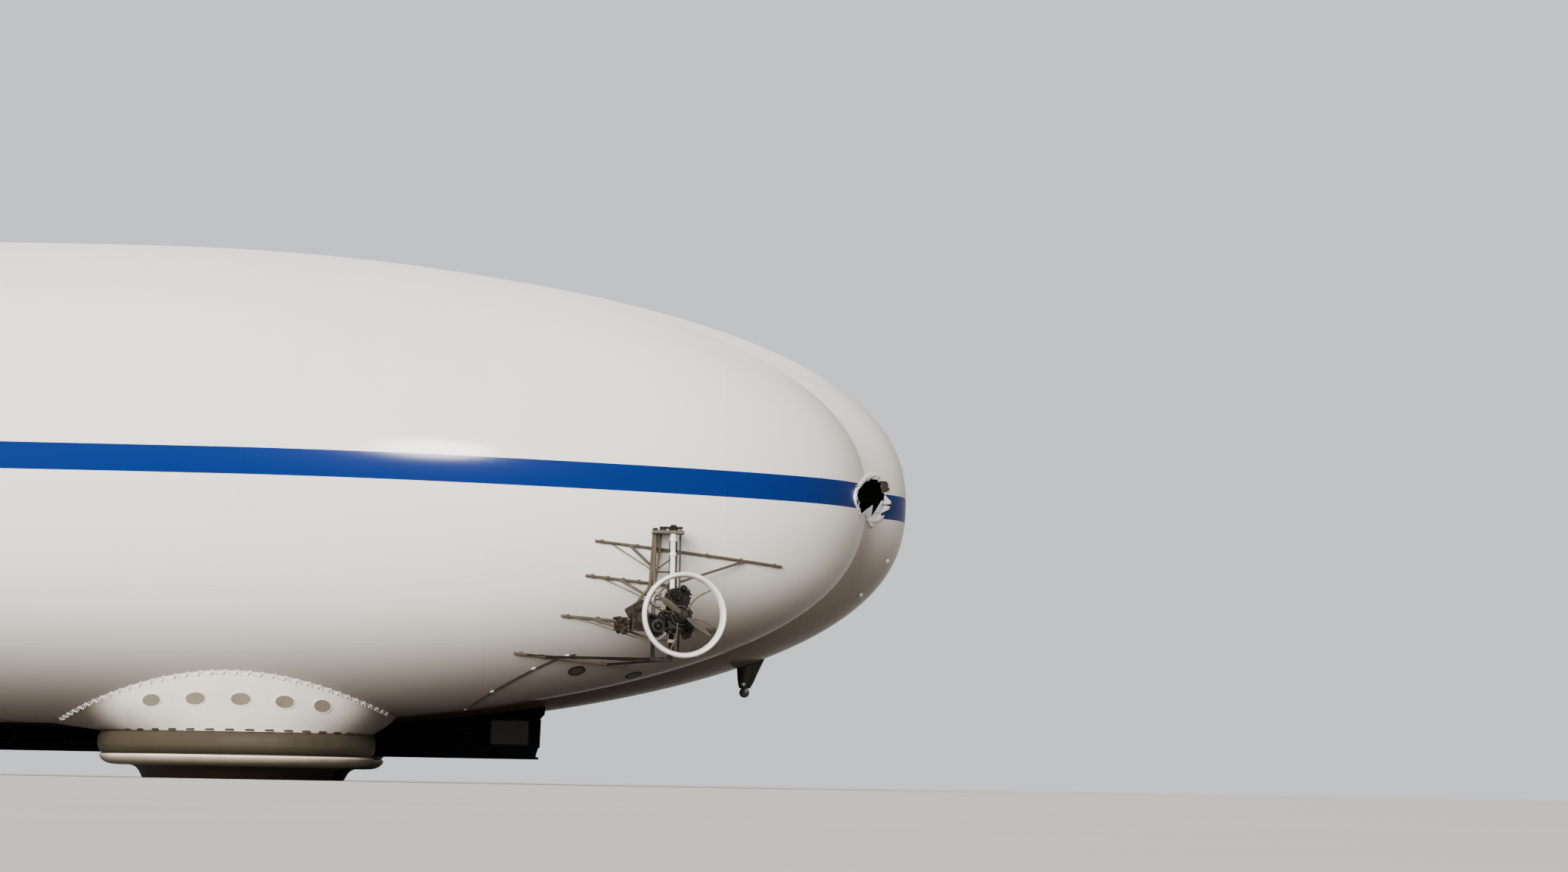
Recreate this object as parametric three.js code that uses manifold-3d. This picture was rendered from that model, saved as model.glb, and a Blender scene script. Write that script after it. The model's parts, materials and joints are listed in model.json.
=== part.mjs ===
// A three-lobed hybrid airship, parked on its four air-cushion pads.
// Millimetres. +X is forward, +Y is to port, +Z is up, and the pads stand on Z = 0. The heights below
// are from the hull's datum, which is DATUM above the floor.
import * as THREE from "three";
import { mergeVertices } from "three/addons/utils/BufferGeometryUtils.js";
import Module from "manifold-3d";

const wasm = await Module();
wasm.setup();

// Driving dimensions of the gas hull. A lobe is round in every section across X.
const DATUM = 120;
const SKIN = 10;
const WIDEST_X = 4490;
const TAIL_POWER = 2.5;
const TAIL_FULLNESS = 1.7;
const TOE_IN_POWER = 5;
const SIDE_LOBE = {
  radius: 4305,
  noseX: 17450,
  tailX: -16900,
  axisY: 3985,
  noseY: 3240,
  tailY: 2900,
  axisZ: 5120,
  noseFullness: 2.4,
};
const MIDDLE_LOBE = {
  radius: 4560,
  noseX: 18500,
  tailX: -17600,
  axisY: 0,
  noseY: 0,
  tailY: 0,
  axisZ: 5280,
  noseFullness: 2.45,
};
const LOBE_SIDES = 24;
const NOSE_STATIONS = 10;
const TAIL_STATIONS = 8;

// The gap that separate pieces keep where they are seated on each other.
const SEAT_GAP = 0.3;
const HULL_GAP = 0.5;

// The tear in the starboard nose, where the side lobe meets the middle lobe.
const TEAR = { x: 17594, y: -2750, z: 5307, yaw: -95.2, drop: 3.8, reach: 1900, across: 0.86 };
const TEAR_RADII = [300, 262, 318, 330, 285, 340, 352, 296, 268, 350, 402, 372, 366, 290];

// The pads. A skirt is laced to the hull along an oval, and stands on a round cushion. The oval's
// middle lies behind the cushion's.
const PAD = {
  frontX: 6160,
  rearX: -8200,
  laceLong: 3020,
  laceWide: 2645,
  laceBehind: 200,
  laceHem: 90,
  waist: 0.45,
  skirtFoot: 2395,
  seamZ: 710,
  skirtWall: 40,
  sides: 24,
};
const CUSHION_PROFILE = [
  // radius, height
  [0, 670],
  [1420, 670],
  [1440, 60],
  [1490, -DATUM],
  [1660, -DATUM],
  [1880, 105],
  [2290, 125],
  [2430, 270],
  [2462, 400],
  [2462, 590],
  [2400, PAD.seamZ],
  [0, PAD.seamZ],
];

// The gondola under the middle lobe.
const GONDOLA = {
  frontX: 11600,
  cabinRearX: 9300,
  rearX: -3000,
  halfWidth: 800,
  bottomHalfWidth: 700,
  knee: 100,
  bottomZ: 350,
  wall: 40,
  topZ: 1700,
  tailFullX: -1500,
  tailNarrowing: 0.55,
  tailBottomZ: 640,
  floorHalf: 560,
  frontPlate: 50,
};
// The front frame's outline, ahead of the cabin's open end: a brow at the top, and a rounded chin.
const FRONT_OUTLINE = [
  // forward, height
  [180, 1700],
  [150, 1190],
  [70, 1100],
  [55, 600],
];
const CHIN_Z = 430;
const DOOR = { rearX: 9700, frontX: 10560, bottomZ: 458, topZ: 1020, gap: 8, wall: 40 };
const SIDE_WINDOW = { rearX: 10700, frontX: 11400, bottomZ: 620, topZ: 1060 };
const SIDE_GLASS = { inner: 26, outer: 18 };
const WINDSCREEN = { halfWidth: 620, bottomZ: 600, topZ: 1060, thick: 8, setIn: 20 };
const HINGE = { ahead: 30, out: 18, barrel: 14, leafOut: 22, knuckle: 50, firstZ: 50 };
const SEAT = { y: 320, halfWidth: 210 };
const SEAT_OUTLINE = [
  // X, height
  [9800, 880],
  [9880, 900],
  [10230, 520],
  [10900, 500],
];
const SEAT_FOOT = { rearX: 10120, frontX: 10900 };
const CONSOLE = { rearX: 11080, frontX: 11380, halfWidth: 520, topZ: 700 };

// The four propulsors. Each engine and its ring swivel about an upright post.
const PROP = {
  postRadius: 50,
  postTop: 1440,
  postBottom: -700,
  pinRadius: 30,
  pinLength: 60,
  boreRadius: 31.2,
  ringX: 910,
  ringOuter: 735,
  ringInner: 622,
  ringDeep: 220,
  bladeRadius: 595,
  crankRadius: 150,
  shaftRadius: 25,
  shaftEnd: 900,
  hubBore: 26.3,
  armZ: 150,
  bladeTurn: 55,
};
const ENGINE = { crankRear: 250, crankFront: 700, bankX: 470, barrel: 105, head: 122, headDeep: 125 };
const MOUNT_BLOCK = { rear: 150, front: 270, halfWidth: 130, halfHeight: 190 };
const CYLINDERS = [
  { angle: 97, reach: 430 },
  { angle: 200, reach: 450 },
  { angle: 318, reach: 360 },
];
const RING_STRUTS = [42, 160, 250, 340];
const FRONT_POST = { x: 13750, y: 7500, z: 2810, yaw: 79.3 };
const STERN_POST = { x: -17480, y: 2900, z: 5100, yaw: 180 };
const STERN_POST_TOP = 900;

// Tubes that the front engine frame lies on the hull with: ends, heights and strut nodes.
const FRONT_RAILS = [
  { rearX: 12400, frontX: 15740, rearZ: 4110, frontZ: 3820, rearNode: 13000, frontNode: 15070 },
  { rearX: 12250, frontX: 13850, rearZ: 3520, frontZ: 3392, rearNode: 12850, frontNode: 13650 },
  { rearX: 11850, frontX: 14700, rearZ: 2830, frontZ: 2680, rearNode: 12400, frontNode: 14300 },
  { rearX: 11050, frontX: 13100, rearZ: 2180, frontZ: 2010, rearNode: 11600, frontNode: 12700 },
];
const RAIL_RADIUS = 30;
const RAIL_LIFT = 6;
const STRUT_RADIUS = 25;
// The front frame's legs and plates, measured from the post. Y counts outward.
const FRONT_FRAME = {
  rearX: -310,
  frontX: 140,
  outerY: -90,
  innerY: -420,
  legRadius: 34,
  frontLegRadius: 20,
  plateX: [-360, 190],
  plateY: [-480, 80],
  crossTieZ: 3120,
  crossTieRadius: 22,
};
const PLATE_THICK = 50;
const FRONT_STRUTS = [
  // rail, rear strut's height on the leg, front strut's height on the leg
  [0, 3660, 3430],
  [1, 3120, 3120],
  [2, 2420, 2420],
  [3, 2085, 2085],
];
// The starter and fuel pack on a front frame's rear legs, from the legs' rear side and the post.
const PACK = { long: 330, innerY: -400, outerY: -70, bottomZ: 2540, topZ: 2960 };
const DRUM = { radius: 110, rear: -420, rearZ: 2840, front: -60, frontZ: 3080 };
// The stern frame: feet on the side lobe at four angles, and struts to the plates.
const STERN_FRAME = {
  footX: -15300,
  footHalf: 450,
  angles: [40, 140, -40, -140],
  secondStrut: -400,
  secondRadius: 18,
  tieX: 130,
  tieRadius: 22,
  plateX: [-80, 160],
  plateY: [-100, 100],
};

// The tail surfaces. Angles are from level, seen from behind, and positive is up.
const FIN = {
  rootFrontX: -10500,
  tipFrontX: -12700,
  hingeX: -14700,
  rearX: -16150,
  rootThick: 340,
  tipThick: 170,
  noseRadius: 60,
  hingeGap: 6,
  backFullness: 0.72,
};
const LUG_PLACES = [0.15, 0.5, 0.85];
const TAIL_FINS = [
  { name: "upper", cant: 57, root: 1500, tip: 7000, rudderRoot: 2150, rudderTip: 6850 },
  { name: "lower", cant: -30, root: 1500, tip: 5500, rudderRoot: 2150, rudderTip: 5350 },
];

// The pod under the nose: sections of its pylon, and the ball below.
const PYLON = [
  // height, rear X, front X, half width
  [2500, 15330, 15960, 150],
  [2180, 15335, 15800, 140],
  [1930, 15355, 15690, 115],
  [1760, 15385, 15600, 90],
];
const BALL = { x: 15490, z: 1690, radius: 98 };

const MATERIALS = {
  envelope: [0xdedad4, 0.42, 0],
  skirt: [0xd2cdc4, 0.55, 0],
  cushion: [0xb9b2a4, 0.6, 0],
  gondola: [0x0b0d12, 0.4, 0.1],
  glass: [0x10151a, 0.08, 0],
  cabin: [0x33363a, 0.8, 0],
  frame: [0x8b857a, 0.45, 0.7],
  engine: [0x26221d, 0.55, 0.6],
  ring: [0xe6e2dc, 0.4, 0],
  blade: [0x2b2927, 0.35, 0],
  fin: [0xdcd8d2, 0.45, 0],
};
const paint = Object.fromEntries(
  Object.entries(MATERIALS).map(([name, [color, roughness, metalness]]) => [
    name,
    new THREE.MeshStandardMaterial({ color, roughness, metalness }),
  ]),
);

// The hands and the sign of Y on each.
const SIDES = [
  ["right", -1],
  ["left", 1],
];

const airship = new THREE.Group();
const raised = new THREE.Group();
raised.position.z = DATUM;
airship.add(raised);
const radians = THREE.MathUtils.degToRad;

// Solids from geometry, and back.
function solid(geometry) {
  const bare = geometry.clone();
  bare.deleteAttribute("normal");
  bare.deleteAttribute("uv");
  const merged = mergeVertices(bare, 1e-3);
  return new wasm.Manifold(
    new wasm.Mesh({
      numProp: 3,
      vertProperties: merged.attributes.position.array,
      triVerts: new Uint32Array(merged.index.array),
    }),
  );
}

function addNode(name, body, finish, parent = raised) {
  const { vertProperties, triVerts } = body.getMesh();
  const geometry = new THREE.BufferGeometry();
  geometry.setAttribute("position", new THREE.BufferAttribute(vertProperties, 3));
  geometry.setIndex(new THREE.BufferAttribute(triVerts, 1));
  geometry.computeVertexNormals();
  const mesh = new THREE.Mesh(geometry, paint[finish]);
  mesh.name = name;
  parent.add(mesh);
  return mesh;
}

const union = (bodies) => bodies.reduce((all, body) => all.add(body));

// A closed skin over rings of equal length. Each end closes on a pole, by default in the middle of
// its ring. Without ends, the last ring meets the first.
function loft(rings, { ends = true, poles = [] } = {}) {
  const count = rings[0].length;
  const points = rings.flat();
  const faces = [];
  const bands = ends ? rings.length - 1 : rings.length;
  for (let i = 0; i < bands; i++) {
    const below = i * count;
    const above = ((i + 1) % rings.length) * count;
    for (let j = 0; j < count; j++) {
      const k = (j + 1) % count;
      faces.push(below + j, below + k, above + k, below + j, above + k, above + j);
    }
  }
  if (ends) {
    for (const [ring, flip, given] of [[0, true, poles[0]], [rings.length - 1, false, poles[1]]]) {
      const pole = points.length;
      const middle = new THREE.Vector3();
      rings[ring].forEach((p) => middle.addScaledVector(p, 1 / count));
      points.push(given ?? middle);
      for (let j = 0; j < count; j++) {
        const a = ring * count + j;
        const b = ring * count + ((j + 1) % count);
        faces.push(...(flip ? [b, a, pole] : [a, b, pole]));
      }
    }
  }
  const geometry = new THREE.BufferGeometry().setFromPoints(points);
  geometry.setIndex(faces);
  const made = solid(geometry);
  if (made.volume() > 0) return made;
  for (let i = 0; i < faces.length; i += 3) [faces[i], faces[i + 1]] = [faces[i + 1], faces[i]];
  geometry.setIndex(faces);
  return solid(geometry);
}

const point = (x, y, z) => new THREE.Vector3(x, y, z);

function rod(from, to, radius, sides = 6) {
  const along = to.clone().sub(from);
  const geometry = new THREE.CylinderGeometry(radius, radius, along.length(), sides);
  const turn = new THREE.Quaternion().setFromUnitVectors(point(0, 1, 0), along.normalize());
  geometry.applyQuaternion(turn);
  const middle = from.clone().add(to).multiplyScalar(0.5);
  return solid(geometry.translate(middle.x, middle.y, middle.z));
}

function block(low, high) {
  const size = high.map((value, i) => value - low[i]);
  const geometry = new THREE.BoxGeometry(...size);
  return solid(geometry.translate(...low.map((value, i) => value + size[i] / 2)));
}

// A plate of one outline, given as places along X and heights, between two places across.
function plate(outline, low, high) {
  const shape = new THREE.Shape(outline.map(([x, z]) => new THREE.Vector2(x, z)));
  const geometry = new THREE.ExtrudeGeometry(shape, { depth: high - low, bevelEnabled: false });
  return solid(geometry.rotateX(Math.PI / 2).translate(0, high, 0));
}

// A turned piece about X or Z, from a profile of radius and distance along the axis.
function turned(profile, axis, sides) {
  const outline = profile.map(([radius, along]) => new THREE.Vector2(radius, along));
  const geometry = new THREE.LatheGeometry(outline, sides);
  if (axis === "x") geometry.rotateZ(-Math.PI / 2);
  if (axis === "z") geometry.rotateX(Math.PI / 2);
  const made = solid(geometry);
  if (made.volume() > 0) return made;
  const index = geometry.index.array;
  for (let i = 0; i < index.length; i += 3) [index[i], index[i + 1]] = [index[i + 1], index[i]];
  return solid(geometry);
}

// The hull's shape.
function alongLobe(lobe, x) {
  const ahead = x >= WIDEST_X;
  const end = ahead ? lobe.noseX : lobe.tailX;
  return { ahead, part: Math.min(1, Math.abs((x - WIDEST_X) / (end - WIDEST_X))) };
}

function lobeRadius(lobe, x) {
  const { ahead, part } = alongLobe(lobe, x);
  return ahead
    ? lobe.radius * (1 - part ** 2) ** (1 / lobe.noseFullness)
    : lobe.radius * (1 - part ** TAIL_POWER) ** (1 / TAIL_FULLNESS);
}

function lobeY(lobe, x) {
  const { ahead, part } = alongLobe(lobe, x);
  return ahead
    ? lobe.axisY - (lobe.axisY - lobe.noseY) * part ** TOE_IN_POWER
    : lobe.axisY - (lobe.axisY - lobe.tailY) * part ** 2;
}

// Stations that the skin runs straight between, closer together toward the blunt ends.
const NEAR_END = 0.9985;
function stationsOf(lobe) {
  const at = (end, part) => WIDEST_X + (end - WIDEST_X) * part;
  const share = (i, count) => Math.sin((Math.PI / 2) * (i / count));
  const rows = [at(lobe.tailX, NEAR_END)];
  for (let i = TAIL_STATIONS - 1; i >= 0; i--) rows.push(at(lobe.tailX, share(i, TAIL_STATIONS)));
  for (let i = 1; i < NOSE_STATIONS; i++) rows.push(at(lobe.noseX, share(i, NOSE_STATIONS)));
  rows.push(at(lobe.noseX, NEAR_END));
  return rows;
}

// Corners stand out a little, so that the flat-sided lobe is as thick as a round one.
const ROUNDING = 2 / (1 + Math.cos(Math.PI / LOBE_SIDES));

function lobeBody(lobe, side, grow) {
  const rings = stationsOf(lobe).map((x) => {
    // Growing moves each ring along the profile's normal, so that a skin is evenly thick.
    const slope = lobeRadius(lobe, x + 1) - lobeRadius(lobe, x - 1);
    const lean = Math.atan2(-slope, 2);
    const radius = ROUNDING * (lobeRadius(lobe, x) + grow * Math.cos(lean));
    return Array.from({ length: LOBE_SIDES }, (_, i) => {
      const angle = (2 * Math.PI * (i + 0.5)) / LOBE_SIDES;
      return point(
        x + grow * Math.sin(lean),
        side * lobeY(lobe, x) + radius * Math.cos(angle),
        lobe.axisZ + radius * Math.sin(angle),
      );
    });
  });
  const pole = (end, ahead) => point(end + ahead * grow, side * lobeY(lobe, end), lobe.axisZ);
  return loft(rings, { poles: [pole(lobe.tailX, -1), pole(lobe.noseX, 1)] });
}

const middleLobe = (grow) => lobeBody(MIDDLE_LOBE, 1, grow);
const sideLobe = (side, grow) => lobeBody(SIDE_LOBE, side, grow);

// Where the flat-sided skin lies: a lobe's centre and its reach from there at an angle in degrees.
function skinAt(lobe, x, angle) {
  const rows = stationsOf(lobe);
  const next = Math.max(1, rows.findIndex((row) => row >= x));
  const [a, b] = [rows[next - 1], rows[next]];
  const part = (x - a) / (b - a);
  const mix = (value) => value(lobe, a) + (value(lobe, b) - value(lobe, a)) * part;
  const step = 360 / LOBE_SIDES;
  const fromFlat = angle - step * Math.round(angle / step);
  const flatness = Math.cos(Math.PI / LOBE_SIDES) / Math.cos(radians(fromFlat));
  return { y: mix(lobeY), radius: ROUNDING * mix(lobeRadius) * flatness };
}

// A point of a side lobe's skin, lifted off it, at an angle from level.
function onSideLobe(x, angle, side, lift) {
  const { y, radius } = skinAt(SIDE_LOBE, x, angle);
  return point(
    x,
    side * (y + (radius + lift) * Math.cos(radians(angle))),
    SIDE_LOBE.axisZ + (radius + lift) * Math.sin(radians(angle)),
  );
}

function angleAtHeight(x, z) {
  let angle = 0;
  for (let i = 0; i < 12; i++) {
    const { radius } = skinAt(SIDE_LOBE, x, angle);
    angle = THREE.MathUtils.radToDeg(Math.asin((z - SIDE_LOBE.axisZ) / radius));
  }
  return angle;
}

// The height of the hull's underside.
function undersideZ(x, y) {
  const heights = [MIDDLE_LOBE, SIDE_LOBE].map((lobe) => {
    const across = Math.abs(y) - lobeY(lobe, x);
    const radius = lobeRadius(lobe, x);
    return radius > Math.abs(across) ? lobe.axisZ - Math.sqrt(radius ** 2 - across ** 2) : Infinity;
  });
  return Math.min(...heights);
}

const hullCutter = union([
  middleLobe(HULL_GAP),
  sideLobe(1, HULL_GAP),
  sideLobe(-1, HULL_GAP),
]);

const largestOf = (body) => body.decompose().sort((a, b) => b.volume() - a.volume())[0];

// What is left of a body outside the skin, without crumbs.
function outsideHull(body) {
  return largestOf(body.subtract(hullCutter));
}

function tearCutter() {
  const outline = TEAR_RADII.map((radius, i) => {
    const angle = (2 * Math.PI * i) / TEAR_RADII.length;
    return new THREE.Vector2(
      TEAR.across * radius * Math.cos(angle),
      radius * Math.sin(angle),
    );
  });
  const geometry = new THREE.ExtrudeGeometry(new THREE.Shape(outline), {
    depth: 2 * TEAR.reach,
    bevelEnabled: false,
  });
  // The outline's plane faces out of the tear: its normal turns from +Z to the yaw direction, and
  // drops a little.
  geometry.translate(0, 0, -TEAR.reach);
  geometry.rotateX(Math.PI / 2 + radians(TEAR.drop));
  geometry.rotateZ(radians(TEAR.yaw) + Math.PI / 2);
  return solid(geometry.translate(TEAR.x, TEAR.y, TEAR.z));
}

// The middle lobe runs through the seams, and the side lobes are butted against its outside.
function buildEnvelope() {
  const tear = tearCutter();
  const middle = middleLobe(0)
    .subtract(middleLobe(-SKIN))
    .subtract(sideLobe(1, -SKIN))
    .subtract(sideLobe(-1, -SKIN))
    .subtract(tear);
  addNode("envelope_middle", largestOf(middle), "envelope");
  const seam = middleLobe(SEAT_GAP);
  for (const [hand, side] of SIDES) {
    const lobe = sideLobe(side, 0).subtract(sideLobe(side, -SKIN)).subtract(seam).subtract(tear);
    addNode(`envelope_${hand}`, largestOf(lobe), "envelope");
  }
}

function skirt(centreX, centreY) {
  const { skirtFoot, skirtWall, laceLong, laceWide, laceBehind, laceHem, waist, seamZ, sides } = PAD;
  // A ring at a share of the way from the round foot to the oval lacing.
  const ring = (part, inset, height) =>
    Array.from({ length: sides }, (_, i) => {
      const angle = (2 * Math.PI * i) / sides;
      const long = skirtFoot + (laceLong - skirtFoot) * part - inset;
      const wide = skirtFoot + (laceWide - skirtFoot) * part - inset;
      const x = centreX - laceBehind * part + long * Math.cos(angle);
      const y = centreY + wide * Math.sin(angle);
      return point(x, y, height(x, y));
    });
  const foot = () => seamZ + SEAT_GAP;
  const top = (x, y) => undersideZ(x, y) + laceHem;
  const middle = (x, y) => seamZ + waist * (undersideZ(x, y) - seamZ);
  const sleeve = loft(
    [
      ring(0, 0, foot),
      ring(0.5, 0, middle),
      ring(1, 0, top),
      ring(1, skirtWall, top),
      ring(0.5, skirtWall, middle),
      ring(0, skirtWall, foot),
    ],
    { ends: false },
  );
  return sleeve.subtract(hullCutter);
}

function buildPads() {
  for (const [end, x] of [["front", PAD.frontX], ["rear", PAD.rearX]]) {
    for (const [hand, side] of SIDES) {
      const y = side * lobeY(SIDE_LOBE, x);
      addNode(`pad_skirt_${end}_${hand}`, skirt(x, y), "skirt");
      const cushion = addNode(
        `pad_cushion_${end}_${hand}`,
        turned(CUSHION_PROFILE, "z", PAD.sides),
        "cushion",
      );
      cushion.position.set(x, y, 0);
    }
  }
}

// The gondola: a closed bay behind, and a hollow cabin of separate panels in front.
function gondolaOutline(x, inset = 0) {
  const half = GONDOLA.halfWidth - inset;
  const low = GONDOLA.bottomHalfWidth - inset;
  const bottom = GONDOLA.bottomZ + inset;
  return [
    point(x, -half, GONDOLA.topZ),
    point(x, -half, bottom + GONDOLA.knee),
    point(x, -low, bottom),
    point(x, low, bottom),
    point(x, half, bottom + GONDOLA.knee),
    point(x, half, GONDOLA.topZ),
  ];
}

function buildBay() {
  const { cabinRearX, rearX, tailFullX, tailNarrowing, tailBottomZ } = GONDOLA;
  const tail = gondolaOutline(rearX).map((p) =>
    point(p.x, p.y * tailNarrowing, Math.max(p.z, tailBottomZ)),
  );
  const body = loft([tail, gondolaOutline(tailFullX), gondolaOutline(cabinRearX - SEAT_GAP)]);
  addNode("gondola_bay", body.subtract(hullCutter), "gondola");
}

// A block on one side of the middle plane, between two distances from it.
function sideBlock(side, x, across, z) {
  const [near, far] = across.map((value) => side * value).sort((m, n) => m - n);
  return block([x[0], near, z[0]], [x[1], far, z[1]]);
}

function buildCabinSide(hand, side, shell) {
  const { frontX, frontPlate, halfWidth, floorHalf } = GONDOLA;
  const hinge = point(DOOR.frontX + HINGE.ahead, side * (halfWidth + HINGE.out), 0);
  const barrel = (low, up) =>
    rod(hinge.clone().setZ(low), hinge.clone().setZ(up), HINGE.barrel);
  const leaf = (x, z, inner) => sideBlock(side, x, [halfWidth + inner, halfWidth + HINGE.leafOut], z);
  const cutOut = (hole, grow) =>
    sideBlock(
      side,
      [hole.rearX - grow, hole.frontX + grow],
      [halfWidth - 200, halfWidth + 200],
      [hole.bottomZ - grow, hole.topZ + grow],
    );
  const lowest = DOOR.bottomZ + HINGE.firstZ;
  const highest = DOOR.topZ - HINGE.firstZ;
  const { knuckle } = HINGE;
  const half = sideBlock(side, [0, frontX - frontPlate], [floorHalf + SEAT_GAP, 2 * halfWidth], [0, 3000]);
  const panel = [[lowest, lowest + knuckle], [highest - knuckle, highest]].reduce(
    (body, z) => body.add(barrel(...z)).add(leaf([hinge.x, hinge.x + 40], z, -4)),
    shell.intersect(half).subtract(cutOut(DOOR, DOOR.gap)),
  );
  addNode(`cabin_side_${hand}`, panel.subtract(cutOut(SIDE_WINDOW, 0)), "gondola");

  const doorX = [DOOR.rearX, DOOR.frontX];
  const doorPanel = sideBlock(side, doorX, [halfWidth - DOOR.wall, halfWidth], [DOOR.bottomZ, DOOR.topZ]);
  const door = [
    [lowest + knuckle + SEAT_GAP, lowest + 2 * knuckle],
    [highest - 2 * knuckle, highest - knuckle - SEAT_GAP],
  ].reduce(
    (body, z) =>
      body
        .add(barrel(...z))
        .add(leaf([DOOR.frontX - 60, hinge.x], z, 4))
        .add(leaf([DOOR.frontX - 60, DOOR.frontX - 5], z, -4)),
    doorPanel,
  );
  addNode(`cabin_door_${hand}`, door, "gondola");

  const pane = sideBlock(
    side,
    [SIDE_WINDOW.rearX + SEAT_GAP, SIDE_WINDOW.frontX - SEAT_GAP],
    [halfWidth - SIDE_GLASS.inner, halfWidth - SIDE_GLASS.outer],
    [SIDE_WINDOW.bottomZ + SEAT_GAP, SIDE_WINDOW.topZ - SEAT_GAP],
  );
  addNode(`cabin_window_${hand}`, pane, "glass");
}

function buildSeat(hand, side, floorTop) {
  const foot = floorTop + SEAT_GAP;
  const outline = [[SEAT_FOOT.frontX, foot], [SEAT_FOOT.rearX, foot], ...SEAT_OUTLINE];
  const y = side * SEAT.y;
  addNode(`cabin_seat_${hand}`, plate(outline, y - SEAT.halfWidth, y + SEAT.halfWidth), "cabin");
}

function buildCabinFront() {
  const { frontX, frontPlate, halfWidth, topZ } = GONDOLA;
  const { halfWidth: paneHalf, bottomZ, topZ: paneTop, thick, setIn } = WINDSCREEN;
  const faceX = frontX - frontPlate;
  const outline = [
    [faceX + SEAT_GAP, topZ],
    ...FRONT_OUTLINE.map(([ahead, z]) => [faceX + ahead, z]),
    [faceX + SEAT_GAP, CHIN_Z],
  ];
  const opening = block([faceX - 10, -paneHalf, bottomZ], [faceX + 300, paneHalf, paneTop]);
  const front = plate(outline, -halfWidth, halfWidth).subtract(hullCutter).subtract(opening);
  addNode("cabin_front", front, "gondola");
  const pane = block(
    [faceX + setIn, -paneHalf + SEAT_GAP, bottomZ + SEAT_GAP],
    [faceX + setIn + thick, paneHalf - SEAT_GAP, paneTop - SEAT_GAP],
  );
  addNode("cabin_windscreen", pane, "glass");
}

function buildCabin() {
  const { frontX, cabinRearX, bottomZ, wall, floorHalf } = GONDOLA;
  const shell = loft([gondolaOutline(cabinRearX), gondolaOutline(frontX)])
    .subtract(loft([gondolaOutline(cabinRearX - 1, wall), gondolaOutline(frontX + 1, wall)]))
    .subtract(hullCutter);
  const floorTop = bottomZ + wall;
  const floor = shell.intersect(block([0, -floorHalf, 0], [frontX + 9, floorHalf, floorTop + 1]));
  addNode("cabin_floor", floor, "gondola");
  for (const [hand, side] of SIDES) {
    buildCabinSide(hand, side, shell);
    buildSeat(hand, side, floorTop);
  }
  const inner = (x) => gondolaOutline(x, wall + SEAT_GAP);
  const rearPlate = loft([inner(cabinRearX + SEAT_GAP), inner(cabinRearX + wall)]);
  addNode("cabin_bulkhead", rearPlate.subtract(hullCutter), "cabin");
  buildCabinFront();
  const { rearX, frontX: consoleX, halfWidth, topZ } = CONSOLE;
  const console = block([rearX, -halfWidth, floorTop + SEAT_GAP], [consoleX, halfWidth, topZ]);
  addNode("cabin_console", console, "cabin");
}

// A propulsor, with +X along its thrust line and the post at its origin. The port ones are
// mirrored, so the angles of what stands out sideways change with the side.
const outward = (angle, side) => point(0, -side * Math.cos(radians(angle)), Math.sin(radians(angle)));

function engineBody(side) {
  const { crankRadius, shaftRadius, shaftEnd } = PROP;
  const { crankRear, crankFront, bankX, barrel, head, headDeep } = ENGINE;
  const { rear, front, halfWidth, halfHeight } = MOUNT_BLOCK;
  const crank = turned(
    [[0, crankRear], [crankRadius, crankRear], [crankRadius, crankFront], [0, crankFront]],
    "x",
    16,
  );
  const shaft = turned(
    [
      [0, crankFront - 50],
      [60, crankFront - 50],
      [60, crankFront + 60],
      [shaftRadius, crankFront + 60],
      [shaftRadius, shaftEnd],
      [0, shaftEnd],
    ],
    "x",
    12,
  );
  const mount = block([rear, -halfWidth, -halfHeight], [front, halfWidth, halfHeight]);
  const cylinders = CYLINDERS.map(({ angle, reach }) => {
    const at = (distance) => point(bankX, 0, 0).addScaledVector(outward(angle, side), distance);
    const jug = rod(at(crankRadius - 60), at(reach - headDeep + 30), barrel, 8);
    return jug.add(rod(at(reach - headDeep), at(reach), head, 8));
  });
  return union([crank, shaft, mount, ...cylinders]);
}

function postBody(top) {
  const { postRadius, postBottom, pinRadius, pinLength, armZ } = PROP;
  const low = top === STERN_POST_TOP ? -STERN_POST_TOP : postBottom;
  const column = turned(
    [
      [0, low - pinLength],
      [pinRadius, low - pinLength],
      [pinRadius, low],
      [postRadius, low],
      [postRadius, top],
      [pinRadius, top],
      [pinRadius, top + pinLength],
      [0, top + pinLength],
    ],
    "z",
    12,
  );
  const armEnd = MOUNT_BLOCK.rear - SEAT_GAP;
  const arm = (z) => block([0, -30, z - 35], [armEnd, 30, z + 35]);
  return union([column, arm(armZ), arm(-armZ)]);
}

function ringBody(side) {
  const { ringX, ringOuter, ringInner, ringDeep, crankRadius } = PROP;
  const half = ringDeep / 2;
  const duct = turned(
    [
      [ringInner + 40, ringX + half],
      [ringInner, ringX + half * 0.4],
      [ringInner, ringX - half * 0.5],
      [ringInner + 40, ringX - half],
      [ringOuter, ringX - half * 0.3],
      [ringOuter, ringX + half * 0.6],
      [ringInner + 40, ringX + half],
    ],
    "x",
    28,
  );
  const collar = turned(
    [
      [crankRadius + 1, 640],
      [crankRadius + 32, 640],
      [crankRadius + 32, 690],
      [crankRadius + 1, 690],
      [crankRadius + 1, 640],
    ],
    "x",
    16,
  );
  const struts = RING_STRUTS.map((angle) => {
    const out = outward(angle, side);
    return rod(
      point(665, 0, 0).addScaledVector(out, crankRadius + 14),
      point(ringX - half + 30, 0, 0).addScaledVector(out, ringInner + 30),
      16,
    );
  });
  return union([duct, collar, ...struts]);
}

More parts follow.
